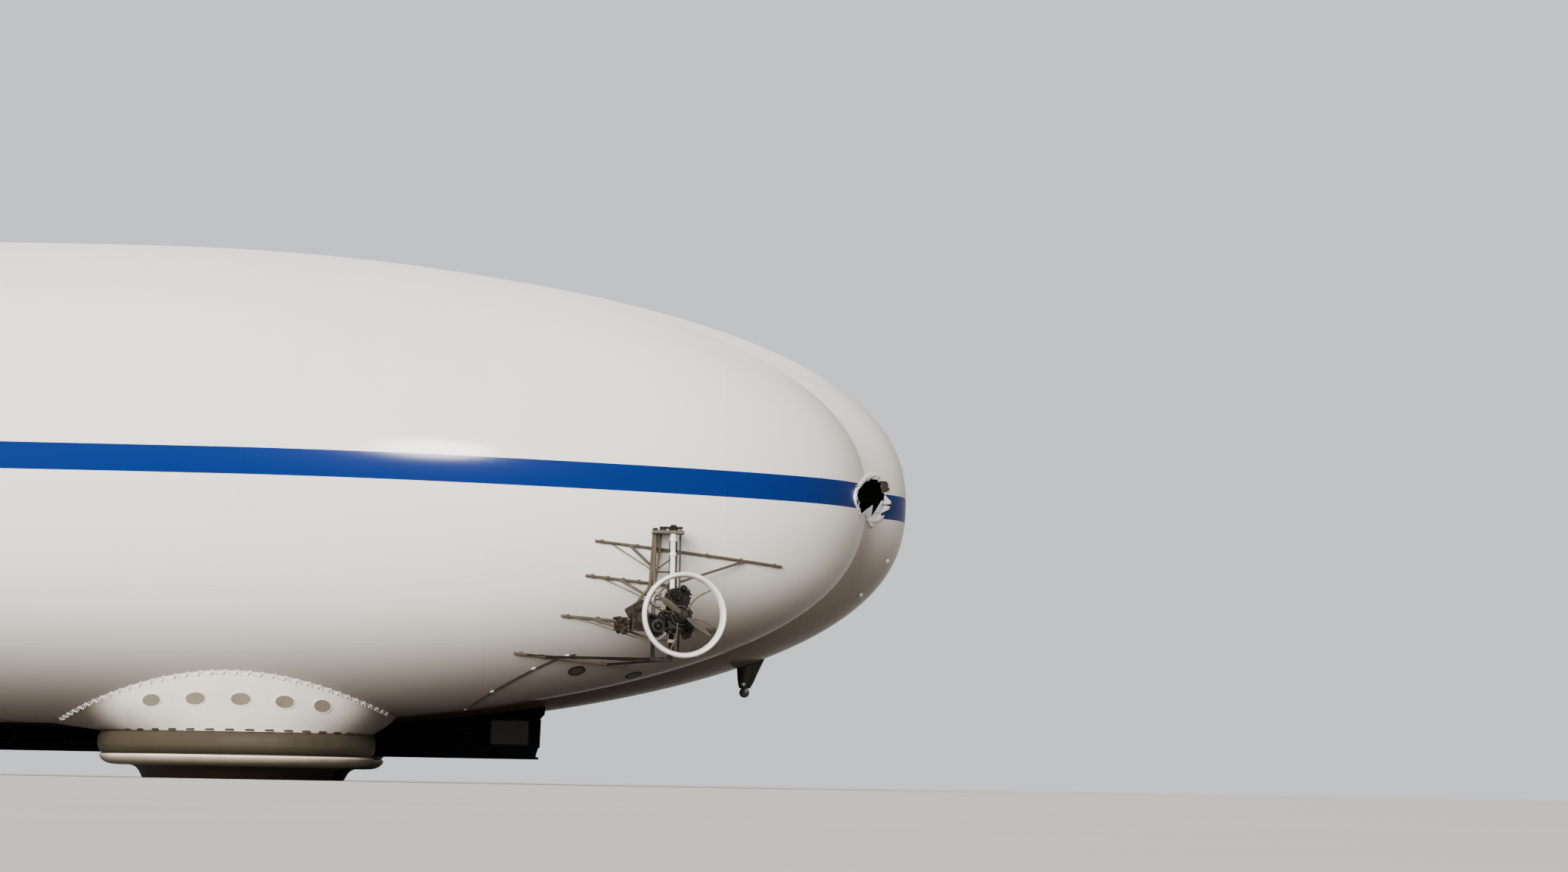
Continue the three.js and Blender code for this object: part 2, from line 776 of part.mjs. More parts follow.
function propellerBody(side) {
  const { hubBore, bladeRadius, ringX, shaftEnd, bladeTurn } = PROP;
  const hub = turned(
    [
      [hubBore, 790],
      [70, 790],
      [78, 960],
      [45, 1010],
      [0, 1025],
      [0, shaftEnd + SEAT_GAP],
      [hubBore, shaftEnd + SEAT_GAP],
      [hubBore, 790],
    ],
    "x",
    12,
  );
  const stations = [
    // distance out, chord, thickness, pitch
    [55, 70, 34, 60],
    [200, 120, 26, 42],
    [420, 130, 16, 27],
    [bladeRadius, 74, 8, 18],
  ];
  const blade = (end) =>
    loft(
      stations.map(([out, chord, thick, pitch]) => {
        const turn = radians(pitch) * end;
        return [[-0.5, 0], [-0.2, 0.5], [0.25, 0.4], [0.5, 0], [0.25, -0.3], [-0.2, -0.4]].map(
          ([c, t]) => {
            const across = c * chord;
            const deep = t * thick;
            return point(
              ringX - 30 + across * Math.sin(turn) + deep * Math.cos(turn),
              across * Math.cos(turn) - deep * Math.sin(turn),
              end * out,
            );
          },
        );
      }),
    );
  const made = union([hub, blade(1), blade(-1)]).rotate([bladeTurn, 0, 0]);
  return side < 0 ? made : made.mirror([0, 1, 0]);
}

// A tube that lies on a side lobe, half sunk in the skin and then trimmed to it.
function skinTube(centres, side) {
  const rings = centres.map((centre) => {
    const axisY = side * skinAt(SIDE_LOBE, centre.x, 0).y;
    const out = point(0, centre.y - axisY, centre.z - SIDE_LOBE.axisZ).normalize();
    const up = point(1, 0, 0).cross(out).normalize();
    return Array.from({ length: 6 }, (_, i) => {
      const angle = (2 * Math.PI * (i + 0.5)) / 6;
      return centre
        .clone()
        .addScaledVector(out, RAIL_RADIUS * Math.cos(angle))
        .addScaledVector(up, RAIL_RADIUS * Math.sin(angle));
    });
  });
  return loft(rings);
}

const spread = (from, to, steps) =>
  Array.from({ length: steps + 1 }, (_, i) => from + ((to - from) * i) / steps);

function rail(row, side) {
  const places = spread(row.rearX, row.frontX, 6).map((x) => railPoint(row, x, side));
  return skinTube(places, side);
}

function railPoint({ rearX, frontX, rearZ, frontZ }, x, side) {
  const z = rearZ + ((frontZ - rearZ) * (x - rearX)) / (frontX - rearX);
  return onSideLobe(x, angleAtHeight(x, z), side, RAIL_LIFT);
}

// A plate that holds one end of a post, bored for its pin.
function postPlate(post, side, low, high, reachX, reachY) {
  const [a, b] = [side * (post.y + reachY[0]), side * (post.y + reachY[1])].sort((m, n) => m - n);
  const plate = block([post.x + reachX[0], a, low], [post.x + reachX[1], b, high]);
  const bore = rod(
    point(post.x, side * post.y, low - 5),
    point(post.x, side * post.y, high + 5),
    PROP.boreRadius,
    12,
  );
  return plate.subtract(bore);
}

function frontTruss(side) {
  const post = FRONT_POST;
  const frame = FRONT_FRAME;
  const topLow = post.z + PROP.postTop + SEAT_GAP;
  const bottomLow = post.z + PROP.postBottom - SEAT_GAP - PLATE_THICK;
  const plates = [topLow, bottomLow].map((low) =>
    postPlate(post, side, low, low + PLATE_THICK, frame.plateX, frame.plateY),
  );
  const topZ = topLow + PLATE_THICK / 2;
  const bottomZ = bottomLow + PLATE_THICK / 2;
  const at = (x, y, z) => point(post.x + x, side * (post.y + y), z);
  const legs = [
    [frame.rearX, frame.outerY, frame.legRadius],
    [frame.rearX, frame.innerY, frame.legRadius],
    [frame.frontX, frame.innerY, frame.frontLegRadius],
  ].map(([x, y, radius]) => rod(at(x, y, bottomZ), at(x, y, topZ), radius));
  const rails = FRONT_RAILS.map((row) => rail(row, side));
  const struts = FRONT_STRUTS.flatMap(([index, rearZ, frontZ]) => {
    const row = FRONT_RAILS[index];
    const [rearNode, frontNode] = [row.rearNode, row.frontNode].map((x) => railPoint(row, x, side));
    return [
      rod(rearNode, at(frame.rearX, frame.innerY, rearZ), STRUT_RADIUS),
      rod(frontNode, at(frame.frontX, frame.innerY, frontZ), STRUT_RADIUS),
    ];
  });
  const { crossTieZ, crossTieRadius } = frame;
  const crossTie = rod(
    at(frame.rearX, frame.outerY, crossTieZ),
    at(frame.rearX, frame.innerY, crossTieZ),
    crossTieRadius,
  );
  return outsideHull(union([...plates, ...legs, ...rails, ...struts, crossTie]));
}

function sternTruss(side) {
  const post = STERN_POST;
  const frame = STERN_FRAME;
  const topLow = post.z + STERN_POST_TOP + SEAT_GAP;
  const bottomLow = post.z - STERN_POST_TOP - SEAT_GAP - PLATE_THICK;
  const plates = [topLow, bottomLow].map((low) =>
    postPlate(post, side, low, low + PLATE_THICK, frame.plateX, frame.plateY),
  );
  const [top, bottom] = [topLow, bottomLow].map((low) =>
    point(post.x + frame.tieX, side * post.y, low + PLATE_THICK / 2),
  );
  const onHull = (x, angle) => onSideLobe(x, angle, side, RAIL_LIFT);
  const { footX, footHalf, angles } = frame;
  const feet = angles.map((angle) =>
    skinTube(spread(footX + footHalf, footX - footHalf, 4).map((x) => onHull(x, angle)), side),
  );
  const struts = angles.flatMap((angle) => {
    const end = angle > 0 ? top : bottom;
    return [
      rod(onHull(footX, angle), end, STRUT_RADIUS),
      rod(onHull(footX + frame.secondStrut, angle), end, frame.secondRadius),
    ];
  });
  const tie = rod(bottom, top, frame.tieRadius);
  return outsideHull(union([...plates, tie, ...feet, ...struts]));
}

// The starter and fuel pack beside a front engine stands on the frame's rear legs.
function drivePack(side) {
  const legFace = FRONT_FRAME.legRadius * Math.cos(Math.PI / 6) + SEAT_GAP;
  const frontX = FRONT_POST.x + FRONT_FRAME.rearX - legFace;
  const across = [FRONT_POST.y + PACK.innerY, FRONT_POST.y + PACK.outerY];
  const box = sideBlock(side, [frontX - PACK.long, frontX], across, [PACK.bottomZ, PACK.topZ]);
  const y = (side * (across[0] + across[1])) / 2;
  const drum = rod(
    point(frontX + DRUM.rear, y, DRUM.rearZ),
    point(frontX + DRUM.front, y, DRUM.frontZ),
    DRUM.radius,
    12,
  );
  return box.add(drum);
}

function buildPropulsors() {
  for (const [end, post, top, truss] of [
    ["front", FRONT_POST, PROP.postTop, frontTruss],
    ["stern", STERN_POST, STERN_POST_TOP, sternTruss],
  ]) {
    for (const [hand, side] of SIDES) {
      const pod = new THREE.Group();
      pod.position.set(post.x, side * post.y, post.z);
      pod.rotation.z = radians(side * post.yaw);
      raised.add(pod);
      addNode(`engine_${end}_${hand}`, engineBody(side), "engine", pod);
      addNode(`post_${end}_${hand}`, postBody(top), "ring", pod);
      addNode(`ring_${end}_${hand}`, ringBody(side), "ring", pod);
      addNode(`propeller_${end}_${hand}`, propellerBody(side), "blade", pod);
      addNode(`truss_${end}_${hand}`, truss(side), "frame");
    }
  }
  for (const [hand, side] of SIDES) addNode(`drive_pack_${hand}`, drivePack(side), "engine");
}

// A tail surface is a fixed fin and a rudder behind it. Its span runs out from the side lobe's axis.
function buildTailSurface({ name, cant, root, tip, rudderRoot, rudderTip }, hand, side) {
  const { rootFrontX, tipFrontX, hingeX, rearX, rootThick, tipThick, noseRadius, backFullness } = FIN;
  const axisY = lobeY(SIDE_LOBE, hingeX);
  const out = point(0, side * Math.cos(radians(cant)), Math.sin(radians(cant)));
  const across = point(1, 0, 0).cross(out).normalize();
  const place = (x, span, deep) =>
    point(x, side * axisY, SIDE_LOBE.axisZ).addScaledVector(out, span).addScaledVector(across, deep);
  const thickAt = (span) => rootThick + ((tipThick - rootThick) * (span - root)) / (tip - root);
  const finBack = hingeX + noseRadius + FIN.hingeGap;
  const finSection = (span) => {
    const part = (span - root) / (tip - root);
    const frontX = rootFrontX + (tipFrontX - rootFrontX) * part;
    const half = thickAt(span) / 2;
    const chord = frontX - finBack;
    const upper = [
      [frontX - 0.07 * chord, 0.55 * half],
      [frontX - 0.4 * chord, half],
      [finBack, backFullness * half],
    ];
    const lower = upper.map(([x, deep]) => [x, -deep]).reverse();
    return [[frontX, 0], ...upper, ...lower].map(([x, deep]) => place(x, span, deep));
  };
  const lugs = LUG_PLACES.map((part) => {
    const span = rudderRoot + (rudderTip - rudderRoot) * part;
    const face = hingeX + noseRadius + SEAT_GAP;
    const section = (s) =>
      [[finBack + 40, 40], [face, 26], [face, -26], [finBack + 40, -40]].map(([x, deep]) =>
        place(x, s, deep),
      );
    return loft([section(span - 25), section(span + 25)]);
  });
  const fixed = union([loft([finSection(root), finSection(tip)]), ...lugs]);
  addNode(`fin_${name}_${hand}`, fixed.subtract(hullCutter), "fin");

  const rudderSection = (span) => {
    const half = Math.min((backFullness * thickAt(span)) / 2 - 12, noseRadius);
    const nose = [-90, -45, 0, 45, 90].map((angle) => [
      hingeX + noseRadius * Math.cos(radians(angle)),
      noseRadius * Math.sin(radians(angle)),
    ]);
    const behind = [[hingeX - 200, half], [rearX, 8], [rearX, -8], [hingeX - 200, -half]];
    return [...nose, ...behind].map(([x, deep]) => place(x, span, deep));
  };
  const rudder = loft([rudderSection(rudderRoot), rudderSection(rudderTip)]);
  addNode(`rudder_${name}_${hand}`, rudder, "fin");
}

function buildTail() {
  for (const surface of TAIL_FINS) {
    for (const [hand, side] of SIDES) buildTailSurface(surface, hand, side);
  }
}

// The sensor pod under the nose: a swept pylon and a ball below it.
function buildNosePod() {
  const outline = [[0, 0], [0.25, 1], [0.7, 1], [1, 0], [0.7, -1], [0.25, -1]];
  const pylon = loft(
    PYLON.map(([z, rear, front, half]) =>
      outline.map(([part, wide]) => point(rear + (front - rear) * part, wide * half, z)),
    ),
  );
  const ball = solid(new THREE.SphereGeometry(BALL.radius, 14, 10).translate(BALL.x, 0, BALL.z));
  addNode("nose_pod", pylon.add(ball).subtract(hullCutter), "engine");
}

buildEnvelope();
buildPads();
buildBay();
buildCabin();
buildPropulsors();
buildTail();
buildNosePod();

export default airship;
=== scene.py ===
"""The looks of a three-lobed hybrid airship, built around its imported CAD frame.

Metres throughout. +X is forward, +Y is to port, +Z is up, and the pads stand on Z = 0. Heights of the
pieces are given from the hull's datum, and piece() lifts them onto the floor.
"""

from __future__ import annotations

import json
import logging
import random
from dataclasses import dataclass, field
from enum import Enum
from functools import cache
from math import atan2, copysign, cos, pi, radians, sin, sqrt
from typing import Any, Iterable, Sequence

import bmesh
import bpy
import numpy as np
from bpy.types import Material, Mesh, Node, NodeSocket, NodeTree, Object
from mathutils import Matrix, Vector
from mathutils.bvhtree import BVHTree

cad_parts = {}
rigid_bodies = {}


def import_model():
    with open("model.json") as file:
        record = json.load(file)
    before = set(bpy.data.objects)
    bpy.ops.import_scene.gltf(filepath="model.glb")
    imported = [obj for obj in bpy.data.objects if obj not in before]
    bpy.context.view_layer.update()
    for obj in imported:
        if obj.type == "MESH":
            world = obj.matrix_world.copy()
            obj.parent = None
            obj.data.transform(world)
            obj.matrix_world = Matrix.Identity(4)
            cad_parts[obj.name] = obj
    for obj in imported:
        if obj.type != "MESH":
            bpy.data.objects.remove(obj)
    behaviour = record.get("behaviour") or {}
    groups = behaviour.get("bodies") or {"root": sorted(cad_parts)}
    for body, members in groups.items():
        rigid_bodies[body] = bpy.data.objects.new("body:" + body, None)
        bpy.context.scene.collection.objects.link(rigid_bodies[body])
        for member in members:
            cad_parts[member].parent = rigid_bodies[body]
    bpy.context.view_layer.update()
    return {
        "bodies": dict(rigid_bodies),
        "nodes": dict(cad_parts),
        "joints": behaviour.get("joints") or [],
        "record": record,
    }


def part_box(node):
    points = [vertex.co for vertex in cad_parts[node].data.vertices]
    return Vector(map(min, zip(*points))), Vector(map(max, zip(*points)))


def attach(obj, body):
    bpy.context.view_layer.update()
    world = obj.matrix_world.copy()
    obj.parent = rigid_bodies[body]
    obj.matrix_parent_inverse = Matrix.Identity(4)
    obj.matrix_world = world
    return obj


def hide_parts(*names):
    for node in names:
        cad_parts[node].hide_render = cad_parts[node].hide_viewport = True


LOG = logging.getLogger("airship")
DATUM = 0.12
# pad middles along X, from which painted shade grows toward the pads' ends
PAD_MIDDLES = (6.16, -8.2)
SIDES = (("right", -1), ("left", 1))
SMOOTH_ANGLE = radians(32)
MERGE = 1e-5


def linear(code: str) -> tuple[float, float, float, float]:
    """Turns a display colour into a scene colour.

    Args:
        code: Six hexadecimal digits.

    Returns:
        Red, green, blue and alpha, linear.
    """
    shares = [int(code[i : i + 2], 16) / 255 for i in (0, 2, 4)]
    r, g, b = (s / 12.92 if s <= 0.04045 else ((s + 0.055) / 1.055) ** 2.4 for s in shares)
    return r, g, b, 1.0


# Meshes


def arc(count: int, start: float, end: float) -> list[float]:
    """Evenly spaced angles in radians, from degrees, both ends counted."""
    return [radians(start + (end - start) * i / (count - 1)) for i in range(count)]


def circle(count: int) -> list[float]:
    """Evenly spaced angles around a full turn, in radians."""
    return arc(count + 1, 0, 360)[:-1]


def headings(path: Sequence[Vector]) -> list[Vector]:
    """The direction of a path at each of its points."""
    last = len(path) - 1
    return [(path[min(i + 1, last)] - path[max(i - 1, 0)]).normalized() for i in range(last + 1)]


def linked(name: str, data: Any) -> Object:
    """Makes an object of a mesh, a light or a camera and links it to the scene.

    Args:
        name: The object's name.
        data: What it is made of.

    Returns:
        The object.
    """
    obj = bpy.data.objects.new(name, data)
    bpy.context.scene.collection.objects.link(obj)
    return obj


def outcome(obj: Object) -> Mesh:
    """Gives an object's mesh with its modifiers done, and removes the object.

    Args:
        obj: The object.

    Returns:
        The result as a mesh of its own.
    """
    bpy.context.view_layer.update()
    depsgraph = bpy.context.evaluated_depsgraph_get()
    mesh = bpy.data.meshes.new_from_object(obj.evaluated_get(depsgraph), depsgraph=depsgraph)
    bpy.data.objects.remove(obj)
    return mesh


class Shape:
    """A mesh in the making, gathered from grids, tubes, turned pieces and boxes."""

    def __init__(self, place: Matrix | None = None) -> None:
        """Starts empty.

        Args:
            place: Moves every point that is added later.
        """
        self.place = place or Matrix.Identity(4)
        self.points: list[Vector] = []
        self.faces: list[tuple[int, ...]] = []

    def grid(self, rows: Sequence[Sequence[Any]], around: bool = False, caps: bool = False) -> Shape:
        """Joins rows of points into faces.

        Args:
            rows: Rows of equal length.
            around: Whether each row closes on itself.
            caps: Whether the first and the last row are closed with a face.

        Returns:
            This shape.
        """
        start = len(self.points)
        count = len(rows[0])
        self.points += [self.place @ Vector(p) for row in rows for p in row]
        for i in range(len(rows) - 1):
            for j in range(count if around else count - 1):
                k = (j + 1) % count
                low, high = start + i * count, start + (i + 1) * count
                self.faces.append((low + j, low + k, high + k, high + j))
        if caps:
            last = start + (len(rows) - 1) * count
            self.faces.append(tuple(start + j for j in reversed(range(count))))
            self.faces.append(tuple(last + j for j in range(count)))
        return self

    def tube(self, path: Sequence[Any], radius: float | Sequence[float], sides: int = 12) -> Shape:
        """Lays a round tube with closed ends along a path.

        Args:
            path: Points of the middle line.
            radius: One radius, or one for each point.
            sides: Number of sides.

        Returns:
            This shape.
        """
        line = [Vector(p) for p in path]
        radii = [radius] * len(line) if isinstance(radius, (int, float)) else list(radius)
        rows = []
        side = headings(line)[0].orthogonal().normalized()
        for p, along, reach in zip(line, headings(line), radii):
            side = (side - along * side.dot(along)).normalized()
            up = along.cross(side)
            rows.append([p + (side * cos(t) + up * sin(t)) * reach for t in circle(sides)])
        return self.grid(rows, around=True, caps=True)

    def turned(self, profile: Sequence[tuple[float, float]], sides: int, base: Matrix | None = None) -> Shape:
        """Turns a profile of radius and distance about Z, or about the Z axis of base.

        Args:
            profile: Radii and distances along the axis; a radius of 0 closes on the axis.
            sides: Number of sides.
            base: Where the axis lies.

        Returns:
            This shape.
        """
        at = base or Matrix.Identity(4)
        rows = [[at @ Vector((r * cos(t), r * sin(t), z)) for t in circle(sides)] for r, z in profile]
        return self.grid(rows, around=True)

    def box(self, corner: Sequence[float], other: Sequence[float]) -> Shape:
        """Adds a block between two opposite corners.

        Args:
            corner: One corner.
            other: The corner opposite to it.

        Returns:
            This shape.
        """
        (a, d), (b, e), (c, f) = (sorted(pair) for pair in zip(corner, other))
        ends = [[(x, b, c), (x, e, c), (x, e, f), (x, b, f)] for x in (a, d)]
        return self.grid(ends, around=True, caps=True)

    def stack(self, outline: Sequence[Any], levels: Sequence[Any], caps: bool = False) -> Shape:
        """Joins copies of a closed outline, one for each scale and height, and returns this shape."""
        return self.grid([[(x * k, y * k, z) for x, y in outline] for k, z in levels], around=True, caps=caps)

    def mesh(self) -> Mesh:
        """Makes the mesh, with merged points and faces that point outwards.

        Returns:
            The new mesh.
        """
        data = bpy.data.meshes.new("part")
        data.from_pydata(self.points, [], self.faces)
        work = bmesh.new()
        work.from_mesh(data)
        bmesh.ops.remove_doubles(work, verts=work.verts, dist=MERGE)
        bmesh.ops.dissolve_degenerate(work, edges=work.edges, dist=MERGE)
        bmesh.ops.recalc_face_normals(work, faces=work.faces)
        work.to_mesh(data)
        work.free()
        return data


def axis_place(origin: Any, along: Any, up: Any = (0, 0, 1)) -> Matrix:
    """A frame whose Z axis runs along a direction.

    Args:
        origin: Its origin.
        along: Its Z axis.
        up: A direction that its Y axis leans to.

    Returns:
        The frame.
    """
    z = Vector(along).normalized()
    side = Vector(up).cross(z)
    x = side.normalized() if side.length > 1e-4 else z.orthogonal().normalized()
    turn = Matrix((x, z.cross(x), z)).transposed()
    return Matrix.Translation(Vector(origin)) @ turn.to_4x4()


def curve_through(points: Sequence[Any], steps: int = 8) -> list[Vector]:
    """A smooth line through a few points.

    Args:
        points: Points that the line passes through.
        steps: Pieces between two of them.

    Returns:
        Points of the line.
    """
    p = [Vector(q) for q in points]
    p = [2 * p[0] - p[1], *p, 2 * p[-1] - p[-2]]
    line = []
    for i in range(1, len(p) - 2):
        for k in range(steps):
            t = k / steps
            a = -p[i - 1] + 3 * p[i] - 3 * p[i + 1] + p[i + 2]
            b = 2 * p[i - 1] - 5 * p[i] + 4 * p[i + 1] - p[i + 2]
            line.append(p[i] + 0.5 * (t * (p[i + 1] - p[i - 1]) + t * t * b + t**3 * a))
    return [*line, p[-2]]


ALONG_X = axis_place((0, 0, 0), (1, 0, 0))


# Node trees


class Graph:
    """Shorthand for wiring one node tree."""

    def __init__(self, tree: NodeTree) -> None:
        """Keeps the tree that the nodes are added to."""
        self.tree = tree

    def feed(self, node: Node, inputs: dict[Any, Any]) -> None:
        """Sets or links a node's inputs.

        Args:
            node: The node.
            inputs: Values, or output sockets to link, by input name or number.
        """
        for key, value in inputs.items():
            if isinstance(value, NodeSocket):
                self.tree.links.new(value, node.inputs[key])
            else:
                node.inputs[key].default_value = value

    def add(self, kind: str, inputs: dict[Any, Any] | None = None, **settings: Any) -> Node:
        """Adds a node.

        Args:
            kind: The node's type.
            inputs: Values, or output sockets to link, by input name or number.
            settings: Properties of the node.

        Returns:
            The node.
        """
        node = self.tree.nodes.new(kind)
        for key, value in settings.items():
            setattr(node, key, value)
        self.feed(node, inputs or {})
        return node

    def group(self, tree: NodeTree, inputs: dict[Any, Any]) -> Node:
        """Adds a shader group and returns its node."""
        return self.add("ShaderNodeGroup", inputs, node_tree=tree)

    def math(self, operation: str, a: Any, b: Any = 0.0, clamp: bool = False) -> NodeSocket:
        """Adds a Math node and returns its output."""
        return self.add("ShaderNodeMath", {0: a, 1: b}, operation=operation, use_clamp=clamp).outputs[0]

    def ramp(self, value: Any, low: float, high: float, to_low: float = 0.0, to_high: float = 1.0) -> Any:
        """Adds a smooth Map Range node and returns its output."""
        inputs = {"Value": value, 1: low, 2: high, 3: to_low, 4: to_high}
        return self.add("ShaderNodeMapRange", inputs, interpolation_type="SMOOTHSTEP").outputs[0]

    def mix(self, share: Any, a: Any, b: Any, blend: str = "MIX") -> NodeSocket:
        """Adds a colour Mix node and returns its output."""
        inputs = {0: share, 6: a, 7: b}
        return self.add("ShaderNodeMix", inputs, data_type="RGBA", blend_type=blend).outputs[2]


def shader_group(name: str, inputs: dict[str, float], outputs: Sequence[str]) -> tuple[Any, Graph, Any, Any]:
    """Starts a shader group that takes a place and numbers, and gives numbers.

    Args:
        name: The group's name.
        inputs: Number inputs with their defaults; Vector is always there.
        outputs: Names of the outputs.

    Returns:
        The tree, its graph, its input node and its output node.
    """
    tree = bpy.data.node_groups.new(name, "ShaderNodeTree")
    tree.interface.new_socket("Vector", in_out="INPUT", socket_type="NodeSocketVector")
    for key, value in inputs.items():
        tree.interface.new_socket(key, in_out="INPUT", socket_type="NodeSocketFloat").default_value = value
    for key in outputs:
        tree.interface.new_socket(key, in_out="OUTPUT", socket_type="NodeSocketFloat")
    graph = Graph(tree)
    return tree, graph, graph.add("NodeGroupInput"), graph.add("NodeGroupOutput")


@cache
def weave_group() -> NodeTree:
    """Two crossing sets of threads, as a height.

    Returns:
        The group, with the output Height.
    """
    tree, g, start, end = shader_group("Weave", {"Scale": 300.0}, ["Height"])
    inputs = {"Vector": start.outputs["Vector"], "Scale": start.outputs["Scale"]}
    waves = [
        g.add("ShaderNodeTexWave", inputs, bands_direction=direction).outputs["Fac"]
        for direction in ("X", "DIAGONAL")
    ]
    g.feed(end, {"Height": g.math("MAXIMUM", *waves)})
    return tree


@cache
def grime_and_shade_group() -> NodeTree:
    """Grime in clouds and runs, and a mask of the faces that look down, where grime and painted shade go.

    Returns:
        The group, with the outputs Mask and Downward grime and shade.
    """
    numbers = {"Scale": 1.0, "Amount": 0.3, "Under Start": 0.1, "Under Full": -0.9}
    tree, g, start, end = shader_group("Grime and shade", numbers, ["Mask", "Downward grime and shade"])
    place, scale = start.outputs["Vector"], start.outputs["Scale"]
    clouds = g.add("ShaderNodeTexNoise", {"Vector": place, "Scale": scale, "Detail": 6.0}).outputs["Fac"]
    stretched = g.add("ShaderNodeMapping", {"Vector": place, "Scale": (3.0, 3.0, 0.35)}).outputs[0]
    runs = g.add("ShaderNodeTexNoise", {"Vector": stretched, "Scale": scale, "Detail": 4.0}).outputs["Fac"]
    both = g.math("MULTIPLY", g.ramp(clouds, 0.35, 0.8), g.ramp(runs, 0.3, 0.75))
    normal = g.add("ShaderNodeNewGeometry").outputs["Normal"]
    height = g.add("ShaderNodeSeparateXYZ", {0: normal}).outputs[2]
    g.feed(end, {
        "Mask": g.math("MULTIPLY", both, start.outputs["Amount"], clamp=True),
        # faces that look down: a mask for grime and for painted shade below
        "Downward grime and shade": g.ramp(height, start.outputs["Under Start"], start.outputs["Under Full"]),
    })
    return tree


@cache
def wear_group() -> NodeTree:
    """Fine scuffs and pits, as a mask and a height.

    Returns:
        The group, with the outputs Mask and Height.
    """
    tree, g, start, end = shader_group("Wear", {"Scale": 30.0}, ["Mask", "Height"])
    place, scale = start.outputs["Vector"], start.outputs["Scale"]
    stretched = g.add("ShaderNodeMapping", {"Vector": place, "Scale": (1.0, 1.0, 0.25)}).outputs[0]
    scuffs = g.add("ShaderNodeTexNoise", {"Vector": stretched, "Scale": scale, "Detail": 8.0}).outputs["Fac"]
    pits = g.add("ShaderNodeTexVoronoi", {"Vector": place, "Scale": scale}).outputs["Distance"]
    g.feed(end, {"Mask": g.ramp(scuffs, 0.58, 0.72), "Height": g.math("MULTIPLY", pits, scuffs)})
    return tree


# Finishes


class Grain(Enum):
    """The fine relief of a finish."""

    WEAVE = "weave"
    PITTED = "pitted"
    NONE = "none"


@dataclass(frozen=True)
class Finish:
    """One material: its colours, gloss, fine relief, grime and painted shade."""

    name: str
    colour: str
    grime_and_shade_colour: str = "5a5040"
    worn_colour: str = "9a958c"
    roughness: float = 0.45
    metallic: float = 0.0
    coat: float = 0.0
    grain: Grain = Grain.PITTED
    grain_scale: float = 60.0
    relief: float = 0.08
    depth: float = 0.002
    soil: float = 0.4
    soil_scale: float = 2.0
    # underside, under_start, under_full: share of grime and painted shade on faces that look down, and the
    # normal's heights where it starts and is full
    underside: float = 0.0
    # ends: painted shade toward the pads' ends, as start and full distance along X from the pad middles, and
    # its most share
    ends: tuple[float, float, float] = (0.0, 1.0, 0.0)
    under_start: float = 0.1
    under_full: float = -0.9
    wear: float = 0.0
    specular: float = 0.5
    transmission: float = 0.0

    def paint(self, g: Graph, place: Any) -> tuple[Any, Any]:
        """Gives the colour before wear, grime and painted shade, and an extra height or None.

        Args:
            g: The material's graph.
            place: The place on the object.

        Returns:
            The colour and the height.
        """
        tone = g.add("ShaderNodeTexNoise", {"Vector": place, "Scale": self.soil_scale * 0.4, "Detail": 3.0})
        light = tuple(min(1.0, c * 1.06) for c in linear(self.colour)[:3]) + (1.0,)
        dark = tuple(c * 0.92 for c in linear(self.colour)[:3]) + (1.0,)
        return g.mix(tone.outputs["Fac"], dark, light), None

    def material(self) -> Material:
        """Builds the material once and returns it from then on.

        Returns:
            The material.
        """
        if self.name in bpy.data.materials:
            return bpy.data.materials[self.name]
        made = bpy.data.materials.new(self.name)
        made.use_nodes = True
        made.diffuse_color = linear(self.colour)
        g = Graph(made.node_tree)
        place = g.add("ShaderNodeTexCoord").outputs["Object"]
        colour, height = self.paint(g, place)
        # the colour for grime, and also for painted shade below, at the pads' ends and under the nose
        grime_and_shade = linear(self.grime_and_shade_colour)
        if self.wear:
            worn = g.group(wear_group(), {"Vector": place, "Scale": self.grain_scale * 0.12})
            mask = g.math("MULTIPLY", worn.outputs["Mask"], self.wear)
            colour = g.mix(mask, colour, linear(self.worn_colour))
        amounts = {
            "Vector": place,
            "Scale": self.soil_scale,
            "Amount": self.soil,
            "Under Start": self.under_start,
            "Under Full": self.under_full,
        }
        soiled, below = g.group(grime_and_shade_group(), amounts).outputs
        colour = g.mix(soiled, colour, grime_and_shade)
        # grime and painted shade on faces that look down
        if self.underside:
            colour = g.mix(g.math("MULTIPLY", below, self.underside), colour, grime_and_shade)
        # painted shade toward the pads' ends, growing with distance along X from the pad middles
        start, full, most = self.ends
        if most:
            x = g.add("ShaderNodeSeparateXYZ", {0: place}).outputs[0]
            reach = [g.math("ABSOLUTE", g.math("SUBTRACT", x, middle)) for middle in PAD_MIDDLES]
            colour = g.mix(g.ramp(g.math("MINIMUM", *reach), start, full, 0.0, most), colour, grime_and_shade)
        heights = [] if height is None else [(height, 1.0, 0.004)]
        if self.grain is not Grain.NONE:
            scale = {"Vector": place, "Scale": self.grain_scale}
            tree = weave_group() if self.grain is Grain.WEAVE else wear_group()
            relief = g.group(tree, scale).outputs["Height"]
            heights.insert(0, (relief, self.relief, self.depth))
        inputs: dict[str, Any] = {
            "Base Color": colour,
            "Roughness": g.ramp(soiled, 0.0, 1.0, self.roughness, min(1.0, self.roughness + 0.3)),
            "Metallic": self.metallic,
            "Coat Weight": self.coat,
            "Coat Roughness": 0.12,
            "Transmission Weight": self.transmission,
            "Specular IOR Level": self.specular,
        }
        normal: dict[str, Any] = {}
        for socket, strength, distance in heights:
            bump = {"Height": socket, "Strength": strength, "Distance": distance, **normal}
            normal = {"Normal": g.add("ShaderNodeBump", bump).outputs[0]}
        g.feed(made.node_tree.nodes["Principled BSDF"], {**inputs, **normal})
        return made


@dataclass(frozen=True)
class ClothFinish(Finish):
    """A woven cloth."""

    grain: Grain = Grain.WEAVE


